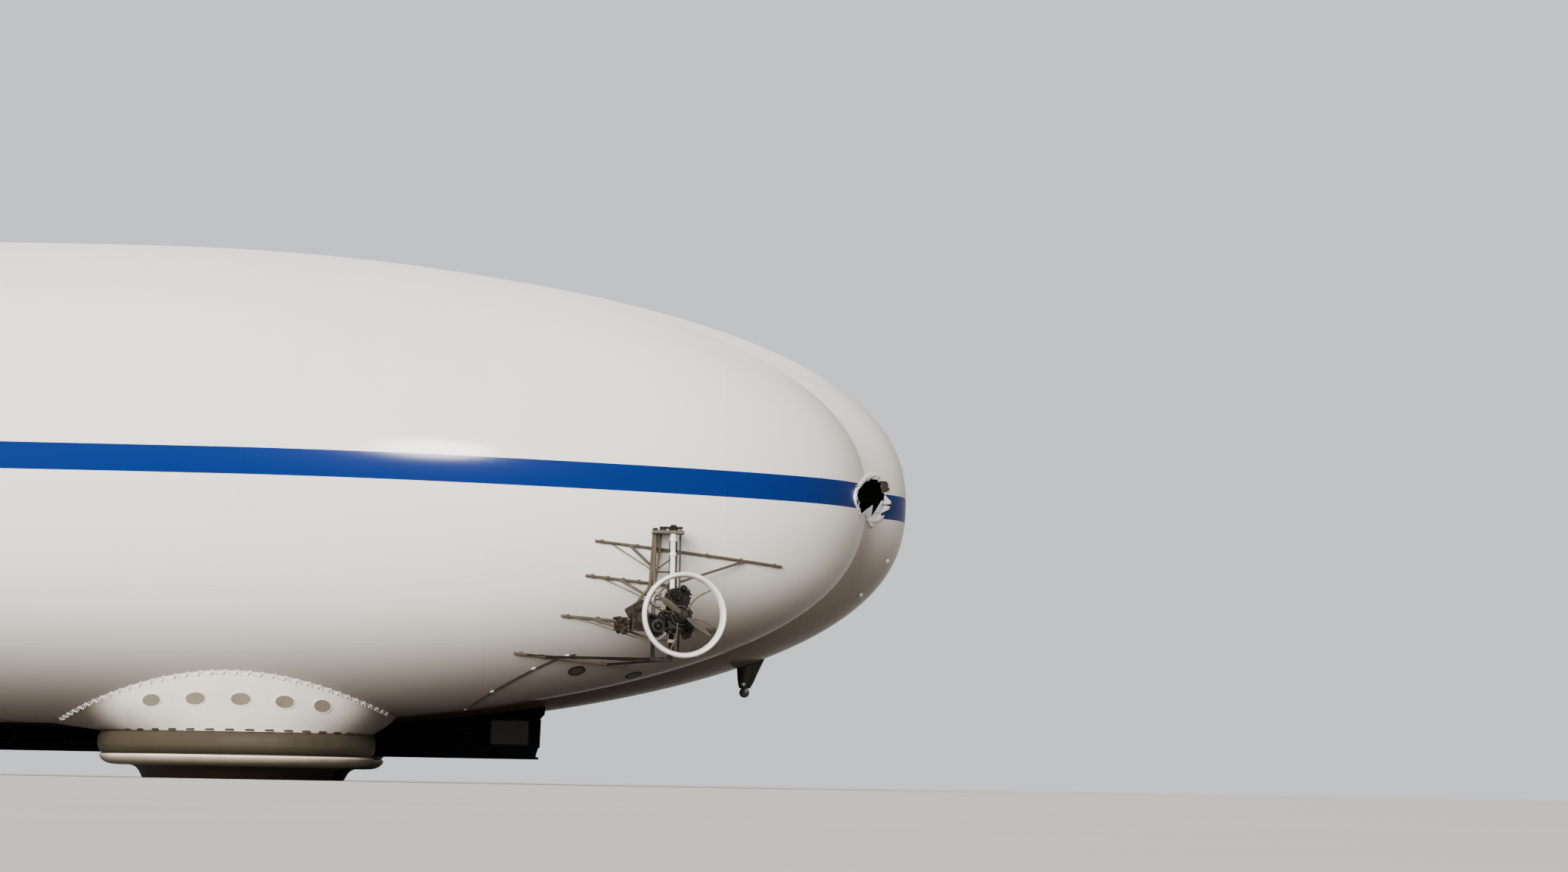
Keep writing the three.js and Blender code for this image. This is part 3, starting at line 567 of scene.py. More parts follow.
@dataclass(frozen=True)
class EnvelopeFinish(ClothFinish):
    """The gas hull's coated cloth, with its stripe and the welded seams between its panels."""

    stripe: str = "00246a"
    stripe_half: float = 0.232
    stripe_edge: float = 0.004
    stripe_nose_z: float = 5.31
    stripe_tail_z: float = 5.41
    bend_x: tuple[float, float] = (16.0, 6.0)
    seam_half: float = 0.012
    shade: float = 0.65
    shade_x: tuple[float, float] = (16.2, 18.4)
    shade_z: tuple[float, float] = (5.2, 3.9)

    def paint(self, g: Graph, place: Any) -> tuple[Any, Any]:
        """Gives the cloth's colour with its stripe, and the seams' height.

        Args:
            g: The material's graph.
            place: The place on the object.

        Returns:
            The colour and the height.
        """
        x, _, z = g.add("ShaderNodeSeparateXYZ", {0: place}).outputs
        base, _ = Finish.paint(self, g, place)
        panel = g.add("ShaderNodeUVMap", uv_map="panels").outputs[0]
        across, along, _ = g.add("ShaderNodeSeparateXYZ", {0: panel}).outputs
        lines = []
        for value, half in ((across, self.seam_half), (along, self.seam_half * 0.6)):
            off = g.math("ABSOLUTE", g.math("SUBTRACT", g.math("FRACT", value), 0.5))
            lines.append(g.ramp(off, half, half * 0.4))
        seam = g.math("MAXIMUM", *lines)
        base = g.mix(g.math("MULTIPLY", seam, 0.012), base, linear("8f8a80"))
        shade = g.math("MULTIPLY", g.ramp(x, *self.shade_x), g.ramp(z, *self.shade_z))
        base = g.mix(g.math("MULTIPLY", shade, self.shade), base, linear(self.grime_and_shade_colour))
        middle = g.ramp(x, *self.bend_x, self.stripe_nose_z, self.stripe_tail_z)
        off = g.math("ABSOLUTE", g.math("SUBTRACT", z, middle))
        band = g.ramp(off, self.stripe_half + self.stripe_edge, self.stripe_half - self.stripe_edge)
        return g.mix(band, base, linear(self.stripe)), g.math("MULTIPLY", seam, 0.3)


@dataclass(frozen=True)
class CushionFinish(ClothFinish):
    """The cushion's cloth: a painted highlight line along its lower ring, and darker toward the floor, with
    grime where it drags and painted shade.
    """

    levels: tuple[tuple[float, str], ...] = (
        # height, colour; the pale stops at 0.39 to 0.412 paint a highlight line, and the stops below darken
        # toward the floor with grime and painted shade
        (0.0, "0a0805"), (0.21, "231c13"), (0.26, "5f5545"), (0.33, "9a907e"), (0.375, "bab09e"),
        (0.39, "e6ddcd"), (0.412, "e6ddcd"), (0.422, "2c261c"), (0.5, "352f25"), (0.6, "433d32"),
        (0.8, "433d32"), (0.825, "322c22"),
    )

    def paint(self, g: Graph, place: Any) -> tuple[Any, Any]:
        """Gives the cloth's colour by height.

        Args:
            g: The material's graph.
            place: The place on the object.

        Returns:
            The colour, and no height.
        """
        _, _, z = g.add("ShaderNodeSeparateXYZ", {0: place}).outputs
        ramp = g.add("ShaderNodeValToRGB", {0: z})
        stops = ramp.color_ramp.elements
        while len(stops) < len(self.levels):
            stops.new(0.5)
        for stop, (height, colour) in zip(stops, self.levels):
            stop.position = height
            stop.color = linear(colour)
        base, _ = Finish.paint(self, g, place)
        return g.mix(0.15, ramp.outputs[0], base, "OVERLAY"), None


class Paints:
    """Every finish of the airship."""

    # underside: grime and painted shade on the hull's lower faces
    CLOTH = EnvelopeFinish(
        "Envelope cloth", "f2eee8", grime_and_shade_colour="4a3d27", roughness=0.36, grain_scale=90, relief=0.03,
        soil=0.06, soil_scale=0.35, underside=0.8, under_start=-0.42, under_full=-1.02, specular=0.02,
        coat=0.25,
    )
    TORN = ClothFinish("Torn cloth", "ffffff", roughness=0.6, grain_scale=200, relief=0.3, soil=0.04)
    # a torn flap seen in its own shadow, painted dark brown: painted shade
    SHADED_FLAP_CLOTH = ClothFinish("Flap cloth in painted shade", "2b2216", roughness=0.8, relief=0.2, soil=0.5)
    # underside: grime and painted shade below; ends: painted shade toward the skirt's ends
    SKIRT = ClothFinish(
        "Skirt cloth", "dfd9ce", grime_and_shade_colour="41372a", roughness=0.5, grain_scale=120, relief=0.12,
        soil=0.22, soil_scale=1.1, underside=0.5, under_start=-0.3, under_full=-0.95,
        ends=(1.8, 2.65, 0.97),
    )
    # underside: grime and painted shade below; ends: painted shade toward the cushion's ends
    CUSHION = CushionFinish(
        "Cushion cloth", "a79d8a", grime_and_shade_colour="2c261c", roughness=0.5, grain_scale=120, relief=0.12,
        soil=0.3, soil_scale=1.3, underside=0.25, ends=(2.05, 2.5, 0.75), specular=0.15,
    )
    SHADE = ClothFinish("Vent mesh", "7a7363", roughness=0.8, grain_scale=400, relief=0.6, soil=0.5)
    DASH = ClothFinish("Seam lacing", "3a3329", roughness=0.7, grain_scale=500, relief=0.4, soil=0.3)
    CORD = ClothFinish("Lacing cord", "e8e4dc", roughness=0.6, grain_scale=600, relief=0.5)
    HULL_PAINT = Finish(
        "Gondola paint", "030407", grime_and_shade_colour="0d0b08", worn_colour="0b0d12", roughness=0.6,
        grain_scale=45, relief=0.03, soil=0.3, wear=0.2, specular=0.06,
    )
    TRIM = Finish(
        "Gondola trim", "07080c", grime_and_shade_colour="14110c", worn_colour="1a1c20", roughness=0.6, wear=0.3,
        soil=0.2, specular=0.12,
    )
    GLASS = Finish(
        "Tinted glass", "030406", roughness=0.12, grain=Grain.NONE, soil=0.05, transmission=0.3, specular=0.1
    )
    SEAT = ClothFinish("Chair cloth", "30343a", roughness=0.85, grain_scale=700, relief=0.5)
    TUBE = Finish(
        "Frame tube", "4e473a", grime_and_shade_colour="363025", worn_colour="736c5e", roughness=0.55, metallic=0.1,
        grain_scale=80, relief=0.06, soil=0.7, soil_scale=3, wear=0.3,
    )
    WHITE = Finish(
        "White enamel", "e6e3dd", worn_colour="8f8a80", roughness=0.28, coat=0.3, grain_scale=70,
        relief=0.03, soil=0.35, soil_scale=3, wear=0.2,
    )
    IRON = Finish(
        "Oily casting", "19150f", grime_and_shade_colour="090705", worn_colour="4a4438", roughness=0.5, metallic=0.4,
        grain_scale=140, relief=0.3, soil=0.8, soil_scale=8, wear=0.35, specular=0.3,
    )
    PACK = Finish(
        "Oiled housing", "2b251c", grime_and_shade_colour="100d09", worn_colour="6a6354", roughness=0.5,
        metallic=0.3, grain_scale=140, relief=0.3, soil=0.7, soil_scale=7, wear=0.4, specular=0.3,
    )
    BRIGHT = Finish(
        "Bright metal", "b9b4aa", grime_and_shade_colour="3a342a", roughness=0.25, metallic=0.9, soil=0.5, soil_scale=9
    )
    BLADE = Finish(
        "Blade lacquer", "443e33", grime_and_shade_colour="231e16", roughness=0.4, coat=0.1, grain_scale=90,
        relief=0.03, soil=0.5, soil_scale=3,
    )
    RUBBER = Finish("Black rubber", "17150f", roughness=0.75, grain_scale=120, relief=0.2)
    # underside: grime and painted shade on the fins' lower faces
    FIN = ClothFinish(
        "Fin cloth", "e9e4dc", grime_and_shade_colour="6b6251", roughness=0.4, grain_scale=150, relief=0.06,
        soil=0.12, soil_scale=0.8, underside=0.4,
    )


# Pieces


def piece(
    name: str,
    part: Shape | Mesh,
    finish: Finish,
    slot: str,
    replaced: Sequence[str] = (),
    angle: float = SMOOTH_ANGLE,
    bevel: float = 0.0,
    body: str = "hull",
) -> Object:
    """Makes an object of a shape or mesh, finishes it and ties it to the frame.

    Args:
        name: The piece's name.
        part: Its shape or mesh, in place, with heights from the datum.
        finish: Its finish.
        slot: The record's material slot; not used.
        replaced: CAD nodes that it stands for.
        angle: Edges bent more than this stay sharp.
        bevel: Width of the rounding on its edges.
        body: The CAD body that it rides on.

    Returns:
        The object.
    """
    name = name.lower().replace(" ", "_")
    mesh = part.mesh() if isinstance(part, Shape) else part
    mesh.name = name
    mesh.transform(Matrix.Translation((0, 0, DATUM)))
    obj = linked(name, mesh)
    mesh.materials.clear()
    mesh.materials.append(finish.material())
    mesh.shade_smooth()
    if bevel:
        modifier = obj.modifiers.new("Rounded edges", "BEVEL")
        modifier.width = bevel
        modifier.segments = 2
        modifier.limit_method = "ANGLE"
        modifier.angle_limit = SMOOTH_ANGLE
    mesh.set_sharp_from_angle(angle=angle)
    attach(obj, body)
    if replaced:
        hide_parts(*replaced)
    LOG.info("%s: %d faces", name, len(mesh.polygons))
    return obj


class Repeats:
    """Geometry Nodes trees for what repeats, each built once."""

    @staticmethod
    def start(name: str, inputs: Sequence[str]) -> tuple[Any, Graph, Any, Any]:
        """Starts a geometry tree with named inputs.

        Args:
            name: The tree's name.
            inputs: Names of the inputs after the geometry.

        Returns:
            The tree, its graph, its input node and its output node.
        """
        kinds = {"Item": "Object", "Finish": "Material", "Sides": "Int"}
        tree = bpy.data.node_groups.new(name, "GeometryNodeTree")
        for flow in ("INPUT", "OUTPUT"):
            tree.interface.new_socket("Geometry", in_out=flow, socket_type="NodeSocketGeometry")
        for key in inputs:
            tree.interface.new_socket(key, in_out="INPUT", socket_type=f"NodeSocket{kinds[key]}")
        graph = Graph(tree)
        return tree, graph, graph.add("NodeGroupInput"), graph.add("NodeGroupOutput")

    @staticmethod
    def close(g: Graph, geometry: Any, start: Any, end: Any) -> None:
        """Ends a tree in Realize Instances and Set Material.

        Args:
            g: The tree's graph.
            geometry: What it has made.
            start: Its input node.
            end: Its output node.
        """
        real = g.add("GeometryNodeRealizeInstances", {0: geometry}).outputs[0]
        dressed = g.add("GeometryNodeSetMaterial", {0: real, "Material": start.outputs["Finish"]})
        g.feed(end, {0: dressed.outputs[0]})

    @classmethod
    @cache
    def on_points(cls) -> NodeTree:
        """An item on each point, its Z along facing and its X along the path.

        Returns:
            The tree.
        """
        tree, g, start, end = cls.start("Item on each point", ["Item", "Finish"])
        item = g.add("GeometryNodeObjectInfo", {"Object": start.outputs["Item"]}).outputs["Geometry"]
        turned: dict[str, Any] = {}
        for key, axis, pivot in (("facing", "Z", "AUTO"), ("along", "X", "Z")):
            name = g.add("GeometryNodeInputNamedAttribute", {"Name": key}, data_type="FLOAT_VECTOR")
            inputs = {"Vector": name.outputs["Attribute"], **turned}
            turn = g.add("FunctionNodeAlignRotationToVector", inputs, axis=axis, pivot_axis=pivot)
            turned = {"Rotation": turn.outputs[0]}
        inputs = {"Points": start.outputs["Geometry"], "Instance": item, **turned}
        cls.close(g, g.add("GeometryNodeInstanceOnPoints", inputs).outputs[0], start, end)
        return tree

    @classmethod
    @cache
    def tubes(cls) -> NodeTree:
        """A round tube along each edge, as thick as its points say.

        Returns:
            The tree.
        """
        tree, g, start, end = cls.start("Tube on each edge", ["Sides", "Finish"])
        lines = g.add("GeometryNodeMeshToCurve", {"Mesh": start.outputs["Geometry"]}).outputs[0]
        reach = g.add("GeometryNodeInputNamedAttribute", {"Name": "reach"}, data_type="FLOAT").outputs[0]
        lines = g.add("GeometryNodeSetCurveRadius", {"Curve": lines, "Radius": reach}).outputs[0]
        inputs = {"Resolution": start.outputs["Sides"], "Radius": 1.0}
        ring = g.add("GeometryNodeCurvePrimitiveCircle", inputs).outputs[0]
        inputs = {"Curve": lines, "Profile Curve": ring, "Fill Caps": True}
        node = g.add("GeometryNodeCurveToMesh", inputs)
        if "Scale" in node.inputs:
            g.feed(node, {"Scale": reach})
        cls.close(g, node.outputs[0], start, end)
        return tree

    @staticmethod
    def run(tree: NodeTree, mesh: Mesh, inputs: dict[str, Any]) -> Mesh:
        """Runs a tree on a mesh and gives the plain result.

        Args:
            tree: The tree.
            mesh: What it starts from.
            inputs: The tree's inputs by name.

        Returns:
            The result as a mesh of its own.
        """
        obj = linked("work", mesh)
        modifier = obj.modifiers.new("Repeat", "NODES")
        modifier.node_group = tree
        sockets = {s.name: s.identifier for s in tree.interface.items_tree if s.in_out == "INPUT"}
        for key, value in inputs.items():
            modifier[sockets[key]] = value
        return outcome(obj)


def repeated(item: Shape, spots: Iterable[tuple[Any, Any, Any]], finish: Finish) -> Mesh:
    """Puts an item at each spot.

    Args:
        item: The item, about its own origin.
        spots: Places, each with the directions of the item's Z and X.
        finish: The finish.

    Returns:
        One mesh of them all.
    """
    rows = [tuple(Vector(v) for v in spot) for spot in spots]
    points = bpy.data.meshes.new("spots")
    points.from_pydata([r[0] for r in rows], [], [])
    for key, column in (("facing", 1), ("along", 2)):
        attribute = points.attributes.new(key, "FLOAT_VECTOR", "POINT")
        attribute.data.foreach_set("vector", [c for r in rows for c in r[column]])
    holder = bpy.data.objects.new("item", item.mesh())
    result = Repeats.run(Repeats.on_points(), points, {"Item": holder, "Finish": finish.material()})
    bpy.data.objects.remove(holder)
    return result


def tubework(runs: Iterable[tuple[Sequence[Any], float]], finish: Finish, sides: int = 14) -> Mesh:
    """Lays round tubes along runs of points.

    Args:
        runs: Each run's points and radius.
        finish: The finish.
        sides: Sides of each tube.

    Returns:
        One mesh of all the tubes.
    """
    points: list[Vector] = []
    edges: list[tuple[int, int]] = []
    reach: list[float] = []
    for run, radius in runs:
        start = len(points)
        points += [Vector(p) for p in run]
        edges += [(start + i, start + i + 1) for i in range(len(run) - 1)]
        reach += [radius] * len(run)
    lines = bpy.data.meshes.new("lines")
    lines.from_pydata(points, edges, [])
    lines.attributes.new("reach", "FLOAT", "POINT").data.foreach_set("value", reach)
    return Repeats.run(Repeats.tubes(), lines, {"Sides": sides, "Finish": finish.material()})


def joined(*parts: Shape | Mesh) -> Mesh:
    """Joins shapes and meshes.

    Args:
        parts: The shapes and meshes.

    Returns:
        One new mesh.
    """
    work = bmesh.new()
    for part in parts:
        work.from_mesh(part.mesh() if isinstance(part, Shape) else part)
    result = bpy.data.meshes.new("joined")
    work.to_mesh(result)
    work.free()
    return result


# The gas hull


@dataclass(frozen=True)
class Lobe:
    """One gas lobe, round in every section across X."""

    radius: float
    nose_x: float
    tail_x: float
    axis_y: float
    nose_y: float
    tail_y: float
    axis_z: float
    nose_fullness: float
    tail_fullness: float = 1.7
    tail_power: float = 2.5
    toe_in_power: float = 5.0
    widest_x: float = 4.49

    def share(self, x: np.ndarray) -> tuple[np.ndarray, np.ndarray]:
        """Tells which places are ahead of the widest one, and how far along each is.

        Args:
            x: Places along X.

        Returns:
            Whether each is ahead, and its share of the way to the lobe's end.
        """
        ahead = x >= self.widest_x
        end = np.where(ahead, self.nose_x, self.tail_x)
        return ahead, np.clip(np.abs((x - self.widest_x) / (end - self.widest_x)), 0, 1)

    def radius_at(self, x: np.ndarray) -> np.ndarray:
        """The radius at places along X.

        Args:
            x: Places along X.

        Returns:
            The radii.
        """
        ahead, part = self.share(x)
        nose = (1 - part**2) ** (1 / self.nose_fullness)
        tail = (1 - part**self.tail_power) ** (1 / self.tail_fullness)
        return self.radius * np.where(ahead, nose, tail)

    def y_at(self, x: np.ndarray) -> np.ndarray:
        """The axis's distance from the middle plane at places along X.

        Args:
            x: Places along X.

        Returns:
            The distances.
        """
        ahead, part = self.share(x)
        nose = (self.axis_y - self.nose_y) * part**self.toe_in_power
        return self.axis_y - np.where(ahead, nose, (self.axis_y - self.tail_y) * part**2)

    def stations(self, nose: int, tail: int) -> np.ndarray:
        """Places along X, closer together toward the blunt ends.

        Args:
            nose: Their number ahead of the widest place.
            tail: Their number behind it.

        Returns:
            The places.
        """
        ends = ((self.nose_x, nose), (self.tail_x, tail))
        parts = [(end - self.widest_x) * np.sin(np.linspace(0, 1, count) * pi / 2) for end, count in ends]
        return self.widest_x + np.union1d(*parts)

    def inset(self, x: np.ndarray, depth: float) -> np.ndarray:
        """The radius of the surface that lies depth inside this one, at places along X.

        Args:
            x: Places along X.
            depth: How far inside.

        Returns:
            The radii.
        """
        places = self.stations(900, 900)
        lean = np.arctan(-np.gradient(self.radius_at(places), places))
        inner_x = places - depth * np.sin(lean)
        inner_radius = np.maximum(self.radius_at(places) - depth * np.cos(lean), 0)
        return np.interp(x, inner_x, inner_radius, left=0.0, right=0.0)


@dataclass
class Hull:
    """The envelope: three lobes under one skin, with a tear beside the nose."""

    middle: Lobe = Lobe(4.56, 18.5, -17.6, 0.0, 0.0, 0.0, 5.28, 2.45)
    side: Lobe = Lobe(4.305, 17.45, -16.9, 3.985, 3.24, 2.9, 5.12, 2.4)
    skin: float = 0.01
    stations: tuple[int, int] = (84, 96)
    columns: tuple[int, int] = (72, 40)
    gores: int = 20
    panel_length: float = 4.2
    tree: BVHTree | None = field(default=None, repr=False)

    def sections(self, x: np.ndarray, depth: float) -> tuple[np.ndarray, ...]:
        """Radii, axis, tilt and the angles of the creases at places along X.

        Args:
            x: Places along X.
            depth: How far inside the outer skin.

        Returns:
            Middle radius, side radius, side axis, tilt of the line between the axes, half of the
            middle lobe's hidden arc and half of the side lobe's shown arc.
        """
        r0 = self.middle.inset(x, depth) if depth else self.middle.radius_at(x)
        r1 = self.side.inset(x, depth) if depth else self.side.radius_at(x)
        s = self.side.y_at(x)
        rise = self.side.axis_z - self.middle.axis_z
        d = np.hypot(s, rise)
        a = (r0**2 - r1**2 + d**2) / (2 * d)
        apart = d >= r0 + r1
        hidden = np.where(apart, 0.0, np.arccos(np.clip(a / np.maximum(r0, 1e-9), -1, 1)))
        shown = np.where(apart, pi, pi - np.arccos(np.clip((d - a) / np.maximum(r1, 1e-9), -1, 1)))
        return r0, r1, s, np.arctan2(rise, s), hidden, shown

    def partings(self, depth: float) -> list[float]:
        """Places where the lobes come apart toward the nose and the tail.

        Args:
            depth: How far inside the outer skin.

        Returns:
            The places along X.
        """
        def gap(x: float) -> float:
            """The room between a side lobe and the middle one at a place along X; below 0 they meet."""
            place = np.array([x])
            r0, r1, s, *_ = self.sections(place, depth)
            return float(np.hypot(s, self.side.axis_z - self.middle.axis_z)[0] - r0[0] - r1[0])

        found = []
        for end in (self.side.nose_x - 0.02, self.side.tail_x + 0.02):
            close, far = self.middle.widest_x, end
            for _ in range(60):
                half = (close + far) / 2
                close, far = (half, far) if gap(half) < 0 else (close, half)
            found.append(far)
        return found

    def surface(self, depth: float, density: float) -> Shape:
        """The hull's skin as a closed mesh.

        Args:
            depth: How far inside the outer skin.
            density: Share of the full number of stations and columns.

        Returns:
            The surface.
        """
        nose, tail = (int(n * density) for n in self.stations)
        across, over = (int(n * density) for n in self.columns)
        partings = self.partings(depth)
        near = [p + o for p in partings for o in (0, -0.004, 0.004, -0.02, 0.02, -0.06, 0.06, 0.14, -0.14)]
        x = np.union1d(self.middle.stations(nose, tail), self.side.stations(nose, tail))
        x = np.union1d(x[np.min(np.abs(x[:, None] - np.array(near)[None]), axis=1) > 0.003], near)
        ends = [self.middle.tail_x + depth, self.middle.nose_x - depth]
        side_ends = [self.side.tail_x + depth, self.side.nose_x - depth]
        x = np.union1d(x[(x > ends[0]) & (x < ends[1])], ends + side_ends)
        r0, r1, s, tilt, hidden, shown = self.sections(x, depth)
        shape = Shape()
        inside = (x >= side_ends[0] - 1e-9) & (x <= side_ends[1] + 1e-9)
        turn = np.linspace(-1, 1, across + 1)
        angle = tilt[:, None] + shown[:, None] * turn
        for side in (-1, 1):
            y = side * (s[:, None] + r1[:, None] * np.cos(angle))
            z = self.side.axis_z + r1[:, None] * np.sin(angle)
            rows = np.stack([np.repeat(x[:, None], across + 1, 1), y, z], -1)[inside]
            shape.grid(rows.tolist())
        turn = np.linspace(0, 1, over + 1)
        for above in (1, -1):
            first = tilt + above * hidden
            last = above * pi - first
            angle = first[:, None] + (last - first)[:, None] * turn
            y = r0[:, None] * np.cos(angle)
            z = self.middle.axis_z + r0[:, None] * np.sin(angle)
            shape.grid(np.stack([np.repeat(x[:, None], over + 1, 1), y, z], -1).tolist())
        return shape

    def panels(self, mesh: Mesh) -> None:
        """Maps the panels: gores around each lobe, and lengths along it.

        Args:
            mesh: The envelope's mesh.
        """
        count = len(mesh.polygons)
        centres = np.empty(count * 3)
        mesh.polygons.foreach_get("center", centres)
        x, y, z = centres.reshape(-1, 3).T
        s = self.side.y_at(x)
        in_middle = np.abs(np.hypot(y, z - self.middle.axis_z) - self.middle.radius_at(x))
        in_side = np.abs(np.hypot(np.abs(y) - s, z - self.side.axis_z) - self.side.radius_at(x))
        on_middle = in_middle < in_side
        corners = np.empty(len(mesh.loops), int)
        mesh.loops.foreach_get("vertex_index", corners)
        sizes = np.empty(count, int)
        mesh.polygons.foreach_get("loop_total", sizes)
        owner = np.repeat(np.arange(count), sizes)
        places = np.empty(len(mesh.vertices) * 3)
        mesh.vertices.foreach_get("co", places)
        px, py, pz = places.reshape(-1, 3)[corners].T

        def angle(x: Any, y: Any, z: Any, middle: Any) -> Any:
            """The angle around the middle lobe, or around a side lobe."""
            side_angle = np.arctan2(z - self.side.axis_z, np.abs(y) - self.side.y_at(x))
            return np.where(middle, np.arctan2(z - self.middle.axis_z, y), side_angle)

        home = angle(x, y, z, on_middle)[owner]
        own = angle(px, py, pz, on_middle[owner])
        own = home + (own - home + pi) % (2 * pi) - pi
        uv = np.stack([own * self.gores / (2 * pi), px / self.panel_length], -1)
        layer = mesh.uv_layers.new(name="panels")
        layer.data.foreach_set("uv", uv.astype(np.float32).ravel())

    def build(self, tear: Tear) -> None:
        """Makes the skin, cuts the tear and keeps a search tree of the outer skin.

        Args:
            tear: The tear.
        """
        outer = self.surface(0.0, 1.0).mesh()
        inner = self.surface(self.skin, 0.5).mesh()
        inner.flip_normals()
        work = bmesh.new()
        work.from_mesh(outer)
        self.tree = BVHTree.FromBMesh(work)
        work.free()
        body = linked("shell", joined(outer, inner))
        knife = linked("knife", tear.cutter().mesh())
        cut = body.modifiers.new("Tear", "BOOLEAN")
        cut.object = knife
        cut.operation = "DIFFERENCE"
        cut.solver = "EXACT"
        result = outcome(body)
        bpy.data.objects.remove(knife)
        self.panels(result)
        nodes = ["envelope_middle", "envelope_right", "envelope_left"]
        piece("Envelope", result, Paints.CLOTH, "envelope", nodes, radians(13))

    def onto(self, start: Any, direction: Any, lift: float = 0.0) -> tuple[Vector, Vector]:
        """Finds the skin along a line from outside.

        Args:
            start: Where the line starts.
            direction: Where it goes.
            lift: How far off the skin the point is wanted.

        Returns:
            The point and the skin's outward direction there.
        """
        place, normal, _, _ = self.tree.ray_cast(Vector(start), Vector(direction).normalized())
        if place is None:
            place, normal, _, _ = self.tree.find_nearest(Vector(start))
        return place + normal * lift, normal

    def side_y(self, x: float) -> float:
        """The distance of a side lobe's axis from the middle plane, at a place along X."""
        return float(self.side.y_at(np.array([x]))[0])

    def beside(self, x: float, z: float, side: int, lift: float = 0.0) -> Vector:
        """The point of the flank at a place along X and a height."""
        return self.onto((x, side * 12.0, z), (0, -side, 0), lift)[0]

    def below(self, x: float, y: float, lift: float = 0.0) -> Vector:
        """The point of the underside at a place along X and across."""
        return self.onto((x, y, -3.0), (0, 0, 1), lift)[0]


@dataclass(frozen=True)
class Petal:
    """A flap of torn cloth: where it hangs on the rim, and where its tip points."""

    start: float
    end: float
    tip: tuple[float, float]
    blunt: float
    lift: float
    # drawn in the dark cloth that paints the flap's shadow
    shade_painted: bool = False


